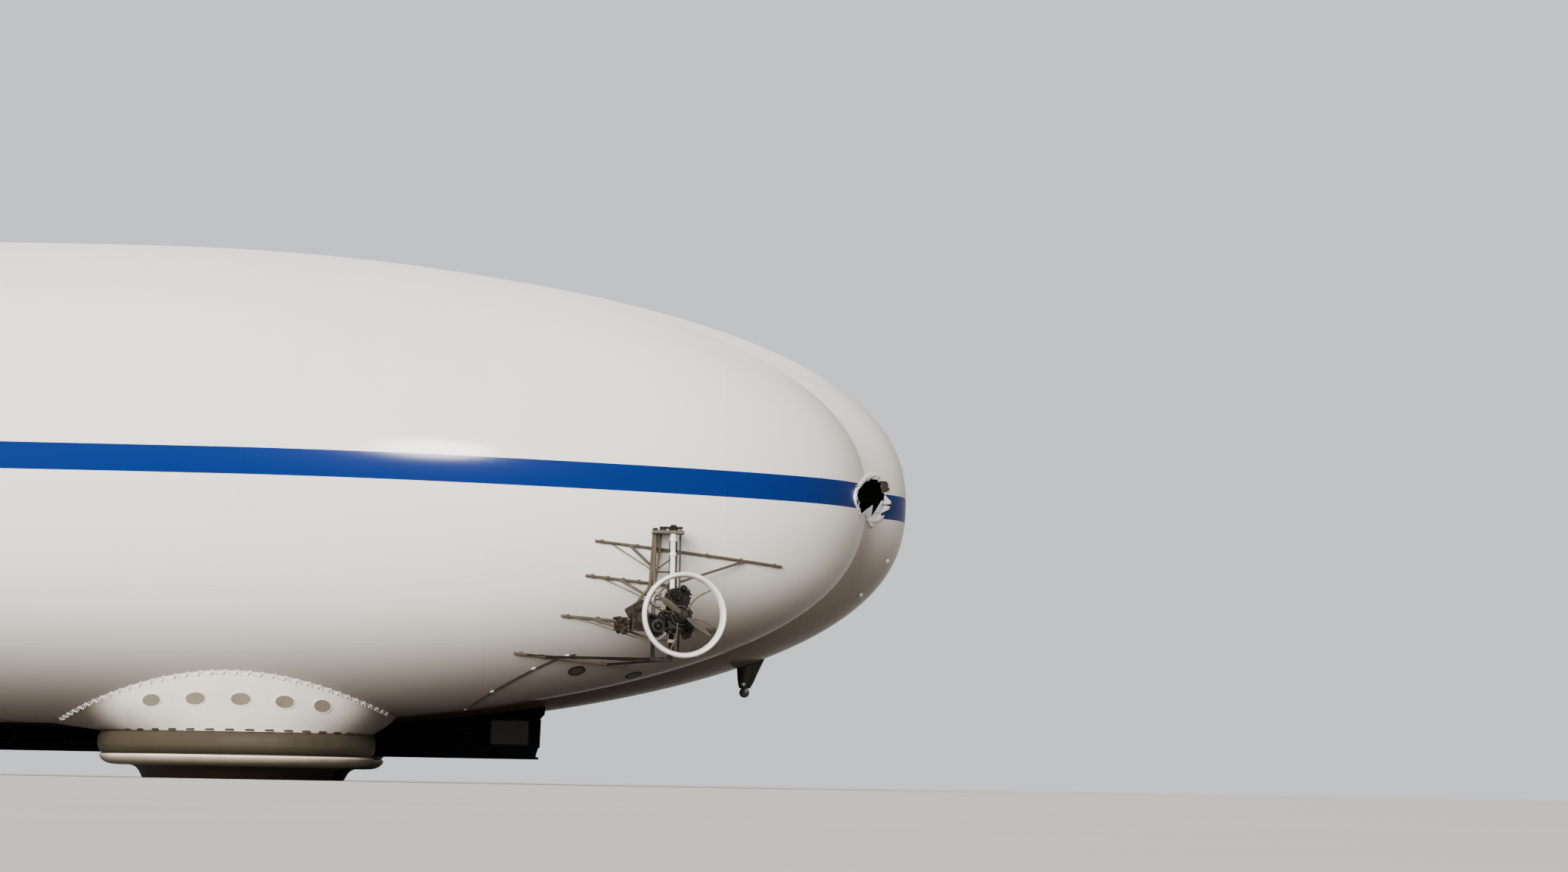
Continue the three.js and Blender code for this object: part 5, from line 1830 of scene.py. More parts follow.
    def build_propeller(self) -> None:
        """Makes the two-bladed propeller with its hub."""
        hub = Shape().turned(
            [
                (0.0263, 0.79), (0.066, 0.79), (0.07, 0.8), (0.07, 0.84), (0.078, 0.85), (0.078, 0.91),
                (0.07, 0.92), (0.068, 0.955), (0.058, 0.985), (0.04, 1.008), (0.02, 1.02), (0, 1.024),
                (0, 0.9003), (0.0263, 0.9003), (0.0263, 0.79),
            ],
            36, ALONG_X,
        )
        blades = Shape(Matrix.Rotation(radians(self.blade_turn), 4, "X"))
        root, tip = self.blade_span
        for side in (1, -1):
            rows = []
            for i in range(self.blade_rows):
                part = i / (self.blade_rows - 1)
                chord = 0.068 + 0.066 * sin(pi * min(1, part * 1.15) ** 0.8) - 0.012 * part
                chord *= sqrt(max(0.02, 1 - part**9))
                thick = 0.034 * (1 - part) ** 1.3 + 0.007
                pitch = radians(60 - 62 * part + 20 * part**2) * side
                row = []
                for t in circle(20):
                    c = -0.5 * cos(t) * chord
                    share = c / chord
                    deep = 0.5 * sin(t) * thick * (1 - 0.45 * (share + 0.5))
                    deep += 0.06 * chord * (0.25 - share**2)
                    x = 0.88 + c * sin(pitch) + deep * cos(pitch)
                    row.append((x, c * cos(pitch) - deep * sin(pitch), side * (root + (tip - root) * part)))
                rows.append(row)
            blades.grid(rows, around=True, caps=True)
        body = f"prop_{self.name}"
        self.add("Propeller", [blades], Paints.BLADE, "blade", body=body, replaced=[f"propeller_{self.name}"])
        self.add("Propeller hub", [hub], Paints.RUBBER, "blade", body=body)

    def build_front_frame(self) -> None:
        """Makes the tube frame that the front post turns in."""
        hull, side = self.hull, self.side
        post = Vector((self.origin.x, abs(self.origin.y), self.origin.z))
        plate_top, plate_low = post.z + self.post_top - 0.06, post.z + self.post_low + 0.06
        rear, front = post.x - 0.31, post.x + 0.14
        outer, inner = post.y - 0.09, post.y - 0.42
        waist = 2.85
        rails = [
            # rear X, front X, rear Z, front Z, rear node X, front node X
            (12.4, 15.74, 4.11, 3.82, 13.0, 15.07),
            (12.25, 13.85, 3.52, 3.392, 12.85, 13.65),
            (11.85, 14.7, 2.83, 2.68, 12.4, 14.3),
            (11.05, 13.1, 2.18, 2.01, 11.6, 12.7),
        ]
        upper: list[tuple[list[Vector], float]] = []
        lower: list[tuple[list[Vector], float]] = []

        def on_rail(row: tuple[float, ...], x: float) -> Vector:
            """The point of a rail at a place along X."""
            z = row[2] + (row[3] - row[2]) * (x - row[0]) / (row[1] - row[0])
            return hull.beside(x, z, side, 0.028)

        def bar(radius: float, *points: Any, steps: int = 0, into: Any = upper) -> None:
            """Lays a tube through points; a plain tuple of numbers is for the right side."""
            path = [p if isinstance(p, Vector) else Vector((p[0], side * p[1], p[2])) for p in points]
            into.append((curve_through(path, steps) if steps else path, radius))

        clips = []
        for row in rails:
            bar(0.026, *(on_rail(row, x) for x in np.linspace(row[0], row[1], 14)))
            for x in np.linspace(row[0] + 0.12, row[1] - 0.12, 6):
                spot = on_rail(row, x)
                clips.append((spot, hull.onto((x, side * 12.0, spot.z), (0, -side, 0))[1], (1, 0, 0)))
        levels = ((3.66, 3.43), (3.12, 3.12), (2.42, 2.42), (plate_low - 0.025, plate_low - 0.025))
        for row, (rear_z, front_z) in zip(rails, levels):
            into = lower if row is rails[-1] else upper
            bar(0.025, on_rail(row, row[4]), (rear, inner, rear_z), into=into)
            bar(0.022, on_rail(row, row[5]), (front, inner, front_z), into=into)
            bar(0.01, on_rail(row, row[4] - 0.35), (rear, inner, rear_z - 0.05), into=into)
        for x, y, radius in ((rear, outer, 0.028), (rear, inner, 0.03), (front, inner, 0.018)):
            bar(radius, (x, y, plate_low - 0.02), (x, y, waist), into=lower)
            bar(radius, (x, y, waist), (x, y, plate_top + 0.02))
        leaning = [(0.02, plate_top), (-0.06, 3.4), (-0.2, 3.17), (-0.36, 2.87), (-0.38, 2.7)]
        for shift, radius in ((0.0, 0.032), (0.09, 0.018)):
            bar(radius, *((rear + x + shift, inner + 0.05, z) for x, z in leaning), steps=6)
        for z in (2.42, 3.12, 3.6, 3.95):
            bar(0.018, (rear, outer, z), (rear, inner, z))
            bar(0.016, (rear, inner, z), (front, inner, z))
        bar(0.014, (rear, inner, 3.12), (front, inner, 3.6))
        bar(0.014, (rear, inner, 3.6), (front, inner, 3.95))
        bar(0.02, (rear - 0.09, inner + 0.02, 3.05), (rear - 0.02, inner + 0.02, plate_top))
        plates = []
        for low in (plate_top, plate_low - 0.05):
            corner = (rear - 0.05, side * (inner - 0.06), low)
            plates.append(Shape().box(corner, (front + 0.05, side * (outer + 0.17), low + 0.05)))
        clip = Shape().box((-0.03, -0.034, -0.034), (0.03, 0.034, -0.016))
        clip.box((-0.014, -0.029, -0.03), (0.014, 0.029, 0.0295))
        frame = joined(tubework(upper, Paints.TUBE), plates[0])
        piece(f"Frame {self.tag}", frame, Paints.TUBE, "frame", [f"truss_front_{self.hand}"])
        foot = joined(tubework(lower, Paints.IRON), plates[1])
        piece(f"Frame foot {self.tag}", foot, Paints.IRON, "frame")
        rail_clips = repeated(clip, clips, Paints.TUBE)
        piece(f"Rail clips {self.tag}", rail_clips, Paints.TUBE, "frame", bevel=0.003)
        self.build_head(Vector((post.x, side * post.y, plate_top + 0.05)), rear, outer, inner)
        self.build_drive(rear)

    def build_head(self, top: Vector, rear: float, outer: float, inner: float) -> None:
        """Makes the bearing and the fittings on top of a front frame.

        Args:
            top: The frame's top on the post's axis.
            rear: Place of the rear tubes along X.
            outer: Distance of the outer tubes from the middle plane.
            inner: Distance of the inner tubes from the middle plane.
        """
        cap = [(0, 0), (0.085, 0), (0.085, 0.03), (0.06, 0.045), (0.055, 0.09), (0.03, 0.1), (0, 0.102)]
        dark = Shape().turned(cap, 28, Matrix.Translation(top))
        for x, y, size in ((rear, outer, 0.05), (rear, inner, 0.045), (top.x + 0.14, inner, 0.035)):
            at = Matrix.Translation((x, self.side * y, top.z))
            dark.turned([(0, 0), (size, 0), (size, 0.03), (size * 0.6, 0.045), (0, 0.05)], 18, at)
        y = top.y - 0.05 * self.side
        dark.box((top.x - 0.24, y - 0.04, top.z), (top.x - 0.12, y + 0.04, top.z + 0.07))
        ends = [(top.x - 0.14, top.y, top.z + 0.045), (top.x + 0.16, top.y - self.side * 0.03, top.z + 0.05)]
        dark.tube(ends, 0.022, 12)
        piece(f"Post head {self.tag}", dark, Paints.IRON, "engine", bevel=0.003)

    def build_drive(self, rear: float) -> None:
        """Makes the starter and fuel pack beside a front engine.

        Args:
            rear: Place of the frame's rear tubes along X.
        """
        low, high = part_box(f"drive_pack_{self.hand}")
        y = (low.y + high.y) / 2
        face = rear - 0.034
        body = Shape().box((low.x + 0.14, low.y + 0.05, 2.56), (face, high.y - 0.05, 2.88))
        tilt = Vector((face - low.x - 0.12, 0, 0.22)).normalized()
        rings = [(0.108, 0.02), (0.108, 0.15), (0.1, 0.155), (0.1, 0.17), (0.108, 0.175), (0.108, 0.34)]
        drum = [(0, 0), (0.09, 0), *rings, (0.09, 0.37), (0, 0.37)]
        body.turned(drum, 28, axis_place((low.x + 0.055, y, 2.84), tilt))
        near = heap(11, (low.x + 0.03, low.y + 0.02, 2.55), (face, high.y - 0.02, 2.98), 34)
        far = heap(12, (low.x - 0.22, low.y + 0.06, 2.46), (low.x + 0.12, high.y - 0.06, 2.84), 34)
        thin = Shape()
        for i in range(4):
            start = y + self.side * (0.1 - 0.06 * i)
            path = [
                (face - 0.1 - 0.03 * i, start, 2.94),
                (face - 0.02, start + self.side * 0.01, 3.05 + 0.04 * i),
                (face + 0.02, start - self.side * 0.03, 3.25),
            ]
            thin.tube(curve_through(path, 6), 0.009, 8)
        pack = joined(body, near, far)
        piece(f"Drive pack {self.hand}", pack, Paints.PACK, "engine", [f"drive_pack_{self.hand}"])
        piece(f"Drive pipes {self.hand}", thin, Paints.TUBE, "engine")

    def build_stern_frame(self) -> None:
        """Makes the tube frame that a stern post turns in."""
        hull, post = self.hull, self.origin
        plate_top, plate_low = post.z + self.post_top - 0.06, post.z + self.post_low + 0.06
        x = post.x + 0.13
        runs: list[tuple[list[Vector], float]] = []
        clips = []

        def on_hull(place: float, away: Vector) -> Vector:
            """The point of the flank lobe at a place along X, in a direction from its axis."""
            axis = Vector((place, self.side * hull.side_y(place), hull.side.axis_z))
            return hull.onto(axis + away * 8, -away, 0.028)[0]

        for angle in (40, 140, -40, -140):
            away = Vector((0, self.side * cos(radians(angle)), sin(radians(angle))))
            end = Vector((x, post.y, plate_top + 0.025 if angle > 0 else plate_low - 0.025))
            runs.append(([on_hull(p, away) for p in np.linspace(-14.85, -15.75, 8)], 0.026))
            runs.append(([on_hull(-15.3, away), end], 0.025))
            runs.append(([on_hull(-15.7, away), end], 0.018))
            for p in (-14.95, -15.3, -15.65):
                spot = on_hull(p, away)
                clips.append((spot, spot - Vector((p, spot.y * 0.6, hull.side.axis_z)), (1, 0, 0)))
        runs.append(([Vector((x, post.y, plate_low - 0.02)), Vector((x, post.y, plate_top + 0.02))], 0.022))
        plates, head = Shape(), Shape()
        for low in (plate_top, plate_low - 0.05):
            plates.box((post.x - 0.08, post.y - 0.1, low), (post.x + 0.16, post.y + 0.1, low + 0.05))
        for z, up in ((plate_top + 0.05, 1), (plate_low - 0.05, -1)):
            at = axis_place((post.x, post.y, z), (0, 0, up))
            head.turned([(0, 0), (0.075, 0), (0.075, 0.03), (0.05, 0.045), (0, 0.06)], 24, at)
        clip = Shape().box((-0.035, -0.05, -0.034), (0.035, 0.05, -0.014))
        clip.box((-0.02, -0.034, -0.03), (0.02, 0.034, 0.031))
        frame = joined(tubework(runs, Paints.TUBE), plates)
        piece(f"Frame {self.tag}", frame, Paints.TUBE, "frame", [f"truss_stern_{self.hand}"])
        fittings = joined(head, repeated(clip, clips, Paints.IRON))
        piece(f"Frame fittings {self.tag}", fittings, Paints.IRON, "frame", bevel=0.003)


# The tail


@dataclass
class TailSurface:
    """A fixed fin on the hull, and the rudder hinged behind it."""

    level: str
    hand: str
    side: int
    hull: Hull
    cant: float
    root: float
    tip: float
    rudder_root: float
    rudder_tip: float
    root_front: float = -10.5
    tip_front: float = -12.7
    hinge: float = -14.7
    rear: float = -16.15
    root_thick: float = 0.34
    tip_thick: float = 0.17
    nose: float = 0.06

    def __post_init__(self) -> None:
        """Sets the surface's names, and works out its directions."""
        self.name, self.tag = f"{self.level}_{self.hand}", f"{self.level} {self.hand}"
        turn = radians(self.cant)
        self.out = Vector((0, self.side * cos(turn), sin(turn)))
        self.across = Vector((1, 0, 0)).cross(self.out).normalized()
        self.axis = Vector((0, self.side * self.hull.side_y(self.hinge), self.hull.side.axis_z))
        self.back = self.hinge + self.nose + 0.006

    def at(self, x: float, span: float, deep: float) -> Vector:
        """A point by its place along X, its span and its height off the middle surface."""
        return self.axis + Vector((x, 0, 0)) + self.out * span + self.across * deep

    def chord(self, share: float) -> float:
        """Place along X at a share of the rudder's chord."""
        return self.hinge + (self.rear - self.hinge) * share

    def thick(self, span: float) -> float:
        """The full thickness at a span."""
        part = (span - self.root) / (self.tip - self.root)
        return self.root_thick + (self.tip_thick - self.root_thick) * part

    def half(self, share: float, span: float) -> float:
        """Half of the fin's thickness at a share of its chord.

        Args:
            share: Share of the chord.
            span: Where along the span.

        Returns:
            The half thickness.
        """
        round_nose = sqrt(max(0.0, min(1.0, share / 0.4) * (2 - min(1.0, share / 0.4))))
        taper = 1 - 0.28 * max(0.0, (share - 0.4) / 0.6) ** 1.5
        return 0.5 * self.thick(span) * round_nose * taper

    def fin_row(self, span: float | None, part: float) -> list[Vector]:
        """One closed section of the fin.

        Args:
            span: Where along the span, or None for the section that lies on the hull.
            part: Share of the way from the root's front to the tip's front.

        Returns:
            Its points.
        """
        at_span = self.root if span is None else span
        front = self.root_front + (self.tip_front - self.root_front) * part
        steps = 22
        row = []
        for turn in (1, -1):
            for i in range(steps + 1):
                share = (1 - turn * cos(pi * i / steps)) / 2
                x = front + (self.back - front) * share
                row.append(self.at(x, at_span, turn * self.half(share, at_span)))
        if span is None:
            return [self.hull.onto(p + self.out * 9, -self.out, -0.004)[0] for p in row]
        return row

    def build(self) -> None:
        """Makes the fin, its rudder and what is on them."""
        rows = [self.fin_row(None, 0.0)]
        for part in np.linspace(0, 1, 14):
            span = self.root + (self.tip - self.root) * part
            if span > 4.35 or part > 0.62:
                rows.append(self.fin_row(span, part))
        tip_row = self.fin_row(self.tip, 1.0)
        middle = sum(tip_row, Vector()) / len(tip_row)
        for lift, pull in ((0.03, 0.16), (0.045, 0.5)):
            ridge = [Vector((p.x, middle.y, middle.z)) for p in tip_row]
            rows.append([p.lerp(q, pull) + self.out * lift for p, q in zip(tip_row, ridge)])
        fin = Shape().grid(rows, around=True, caps=True)
        face = self.hinge + self.nose + 0.0003
        for part in (0.15, 0.5, 0.85):
            span = self.rudder_root + (self.rudder_tip - self.rudder_root) * part
            lug = ((self.back + 0.04, 0.04), (face, 0.026), (face, -0.026), (self.back + 0.04, -0.04))
            sections = [[self.at(x, s, deep) for x, deep in lug] for s in (span - 0.025, span + 0.025)]
            fin.grid(sections, around=True, caps=True)
        piece(f"Fin {self.tag}", fin, Paints.FIN, "fin", [f"fin_{self.name}"], radians(40))
        self.build_rudder()
        self.build_tapes()
        self.build_braces()

    def rudder_row(self, span: float) -> list[Vector]:
        """One closed section of the rudder.

        Args:
            span: Where along the span.

        Returns:
            Its points.
        """
        row = [self.at(self.hinge + self.nose * cos(t), span, self.nose * sin(t)) for t in arc(13, -90, 90)]
        shares = (0.12, 0.35, 0.65, 0.92, 1.0)
        for turn, order in ((1, shares), (-1, shares[::-1])):
            row += [self.at(self.chord(share), span, turn * self.face(share, span, 0.006)) for share in order]
        return row

    def build_rudder(self) -> None:
        """Makes the hinged rudder and its horn."""
        body = f"tail_{self.name}"
        spans = np.linspace(self.rudder_root, self.rudder_tip, 12)
        rudder = Shape().grid([self.rudder_row(s) for s in spans], around=True, caps=True)
        node = [f"rudder_{self.name}"]
        piece(f"Rudder {self.tag}", rudder, Paints.FIN, "fin", node, radians(40), 0.004, body)
        horn = Shape()
        span = (self.rudder_root + self.rudder_tip) / 2 + 0.3
        for turn in (1, -1):
            ends = ((0.16, 0.05), (0.12, 0.16))
            path = [self.at(self.hinge - back, span, turn * deep) for back, deep in ends]
            horn.tube(path, [0.03, 0.014], 10)
        piece(f"Rudder horns {self.tag}", horn, Paints.BRIGHT, "frame", body=body)

    def build_tapes(self) -> None:
        """Makes the rib tapes on both faces of the fin and the rudder."""
        fixed, moving = [], []
        for part in np.linspace(0.07, 0.97, 11):
            span = self.root + (self.tip - self.root) * part
            front = self.root_front + (self.tip_front - self.root_front) * part
            back = self.hinge + self.nose + 0.02
            for turn in (1, -1):
                line = []
                for share in np.linspace(0.03, 0.985, 18):
                    deep = turn * (self.half(share, span) + 0.0005)
                    p = self.at(front + (back - front) * share, span, deep)
                    axis = Vector((p.x, self.side * self.hull.side_y(p.x), self.hull.side.axis_z))
                    if (p - axis).length > float(self.hull.side.radius_at(np.array([p.x]))[0]) + 0.03:
                        line.append(p)
                if len(line) > 3:
                    fixed.append((line, 0.006))
                if self.rudder_root + 0.02 < span < self.rudder_tip - 0.02:
                    shares = np.linspace(0.12, 0.97, 10)
                    line = [self.at(self.chord(s), span, turn * self.face(s, span, 0.0065)) for s in shares]
                    moving.append((line, 0.005))
        for label, runs, body in (("Fin", fixed, "hull"), ("Rudder", moving, f"tail_{self.name}")):
            piece(f"{label} ribs {self.tag}", tubework(runs, Paints.FIN, 6), Paints.FIN, "fin", body=body)

    def build_braces(self) -> None:
        """Makes the taut stays from the fin to the hull, with their end fittings."""
        runs, ends = [], Shape()
        socket = [(0, -0.006), (0.045, -0.006), (0.045, 0.008), (0.016, 0.02), (0.014, 0.05), (0, 0.055)]
        for x, span_part in ((-13.2, 0.93), (-14.1, 0.93), (-13.6, 0.7)):
            span = self.root + (self.tip - self.root) * span_part
            share = (x - self.tip_front) / (self.hinge - self.tip_front)
            for turn in (1, -1):
                top = self.at(x, span, turn * (self.half(share, span) - 0.01))
                angle = radians(self.cant) + turn * self.side * radians(48)
                away = Vector((0, self.side * abs(cos(angle)), sin(angle)))
                if cos(angle) < 0.05:
                    away = Vector((0, self.side * 0.05, 1)).normalized()
                foot, normal = self.hull.onto(self.axis + Vector((x + 0.5, 0, 0)) + away * 9, -away, 0.004)
                runs.append(([foot, top], 0.007))
                ends.turned(socket, 14, axis_place(foot, normal))
                ends.tube([foot.lerp(top, 0.02), foot.lerp(top, 0.055)], 0.014, 8)
        piece(f"Fin stays {self.tag}", tubework(runs, Paints.BRIGHT, 8), Paints.BRIGHT, "frame")
        piece(f"Stay fittings {self.tag}", ends, Paints.IRON, "frame")

    def face(self, share: float, span: float, lift: float) -> float:
        """Half of the rudder's thickness behind its nose, with a lift off its face."""
        flat = min(0.36 * self.thick(span) - 0.012, self.nose)
        return flat * (1 - share) ** 0.8 + lift


# The gondola and the nose


@dataclass
class Gondola:
    """What is on the gondola besides its CAD panels."""

    hull: Hull
    nodes: dict[str, Object]
    front: float = 11.6
    cabin_rear: float = 9.3
    rear: float = -3.0
    half: float = 0.8
    knee: float = 0.45
    door: tuple[float, float, float, float] = (9.7, 10.56, 0.458, 1.02)
    window: tuple[float, float, float, float] = (10.7, 11.4, 0.62, 1.06)
    screen: tuple[float, float, float] = (0.62, 0.6, 1.06)
    frame_wide: float = 0.035

    def build(self) -> None:
        """Dresses the CAD panels and adds the trim."""
        dressing = {
            Paints.HULL_PAINT: ("gondola_bay", "cabin_floor", "cabin_front", "cabin_side", "cabin_door"),
            Paints.GLASS: ("cabin_window", "cabin_windscreen"),
            Paints.SEAT: ("cabin_seat",),
            Paints.TRIM: ("cabin_bulkhead", "cabin_console"),
        }
        for finish, starts in dressing.items():
            for name, obj in self.nodes.items():
                if name.startswith(starts):
                    obj.data.materials.clear()
                    obj.data.materials.append(finish.material())
        self.build_frames()
        self.build_doors()
        self.build_strips()
        self.build_steps()

    def build_frames(self) -> None:
        """Makes the frames around the windows and the windscreen."""
        trim = Shape()
        x0, x1, z0, z1 = self.window
        inner, outer = self.rounded((x0 - 0.004, z0 - 0.004), (x1 + 0.004, z1 + 0.004), 0.05)
        for _, side in SIDES:
            face, proud = side * (self.half + 0.0005), side * (self.half + 0.012)
            edges = ((inner, face), (inner, proud), (outer, proud), (outer, face), (inner, face))
            trim.grid([[(x, y, z) for x, z in ring] for ring, y in edges], around=True)
        half, z0, z1 = self.screen

        def front(z: float) -> float:
            """Place of the leaning windscreen along X at a height."""
            return self.front + 0.005 + (z - 0.6) * 0.03

        inner, outer = self.rounded((-half, z0), (half, z1), 0.06)
        edges = ((inner, 0.002), (inner, 0.016), (outer, 0.016), (outer, 0.002), (inner, 0.002))
        trim.grid([[(front(z) + lift, y, z) for y, z in ring] for ring, lift in edges], around=True)
        trim.tube([(front(z0) + 0.008, 0, z0), (front(z1) + 0.008, 0, z1)], 0.014, 8)
        piece("Window frames", trim, Paints.TRIM, "gondola")

    def build_strips(self) -> None:
        """Makes the panel joints, rub strips, rivets and louvres of the rear bay."""
        strips, rivets, louvres = Shape(), [], []
        knee = self.knee
        for _, side in SIDES:
            low, face = side * (self.half - 0.002), side * (self.half + 0.006)
            end = (self.cabin_rear - 0.05, side * (self.half + 0.014), knee + 0.06)
            strips.box((self.rear + 1.5, low, knee + 0.02), end)
            end = (self.door[0] - 0.03, side * (self.half + 0.012), 0.49)
            strips.box((self.cabin_rear + 0.02, low, 0.462), end)
            x = self.rear + 1.7
            while x < self.cabin_rear - 0.2:
                top = self.hull.onto((x, side * 0.83, -1), (0, 0, 1))[0].z - 0.02
                strips.box((x - 0.02, low, knee + 0.02), (x + 0.02, face, top))
                z = knee + 0.08
                while z < top - 0.03:
                    rivets += [((x + o, face, z), (0, side, 0), (1, 0, 0)) for o in (-0.011, 0.011)]
                    z += 0.05
                x += 1.05
            for start in (1.2, 4.35, 6.45):
                places = [(start + 0.36, side * self.half, knee + 0.16 + 0.045 * i) for i in range(8)]
                louvres += [(place, (0, side, 0), (1, 0, 0)) for place in places]
        rivet = Shape().turned([(0.006, 0), (0.005, 0.0025), (0, 0.0042)], 6)
        ends = ((-0.24, 0.002), (-0.22, 0.016), (0.22, 0.016), (0.24, 0.002))
        slat = [((-0.014, 0), (-0.012, lift), (0.004, lift * 0.75), (0.012, 0)) for _, lift in ends]
        sections = [[(x, y, z) for y, z in row] for (x, _), row in zip(ends, slat)]
        louvre = Shape().grid(sections, around=True, caps=True)
        piece("Bay strips", strips, Paints.TRIM, "gondola", bevel=0.002)
        piece("Bay rivets", repeated(rivet, rivets, Paints.TRIM), Paints.TRIM, "gondola")
        slats = repeated(louvre, louvres, Paints.HULL_PAINT)
        piece("Bay louvres", slats, Paints.HULL_PAINT, "gondola", bevel=0.001)

    def build_steps(self) -> None:
        """Makes the door steps and the seals inside the door gaps."""
        steps = Shape()
        for _, side in SIDES:
            path = [(9.4, 0.77, 0.44), (9.4, 0.86, 0.425), (10.52, 0.86, 0.425), (10.52, 0.77, 0.44)]
            steps.tube([(x, side * y, z) for x, y, z in path], 0.012, 10)
            for x in (9.66, 10.53):
                steps.box((x, side * 0.745, 0.44), (x + 0.07, side * 0.755, 1.04))
        piece("Door steps", steps, Paints.TRIM, "gondola")

    def rounded(self, low: Sequence[float], high: Sequence[float], radius: float) -> list[list[Any]]:
        """Rounded outlines of the inner and outer edge of a window's frame.

        Args:
            low: The opening's lowest corner.
            high: Its highest corner.
            radius: The radius of its corners.

        Returns:
            The inner and the outer outline.
        """
        (a, b), (c, d) = low, high
        left, right, bottom, top = a + radius, c - radius, b + radius, d - radius
        corners = ((right, top), (left, top), (left, bottom), (right, bottom))
        return [
            [
                (x + reach * cos(t), z + reach * sin(t))
                for i, (x, z) in enumerate(corners)
                for t in arc(6, 90 * i, 90 * i + 90)
            ]
            for reach in (radius, radius + self.frame_wide)
        ]

    def build_doors(self) -> None:
        """Makes the ribs and the handle on each door."""
        x0, x1, z0, _ = self.door
        for hand, side in SIDES:
            fittings = Shape()
            face = side * self.half
            for i in range(3):
                z = z0 + 0.1 + 0.17 * i
                end = (x1 - 0.1, face + side * 0.007, z + 0.012)
                fittings.box((x0 + 0.06, face + side * 0.0005, z - 0.012), end)
            handle = [(0.012, 0.78), (0.04, 0.8), (0.04, 0.9), (0.012, 0.92)]
            path = [(x0 + 0.05, face + side * out, z) for out, z in handle]
            fittings.tube(curve_through(path, 5), 0.009, 8)
            for z in (0.78, 0.92):
                at = axis_place((x0 + 0.05, face, z), (0, side, 0))
                fittings.turned([(0, 0), (0.022, 0), (0.022, 0.008), (0.012, 0.014), (0, 0.014)], 14, at)
            piece(f"Door fittings {hand}", fittings, Paints.TRIM, "gondola", bevel=0.002, body=f"door_{hand}")


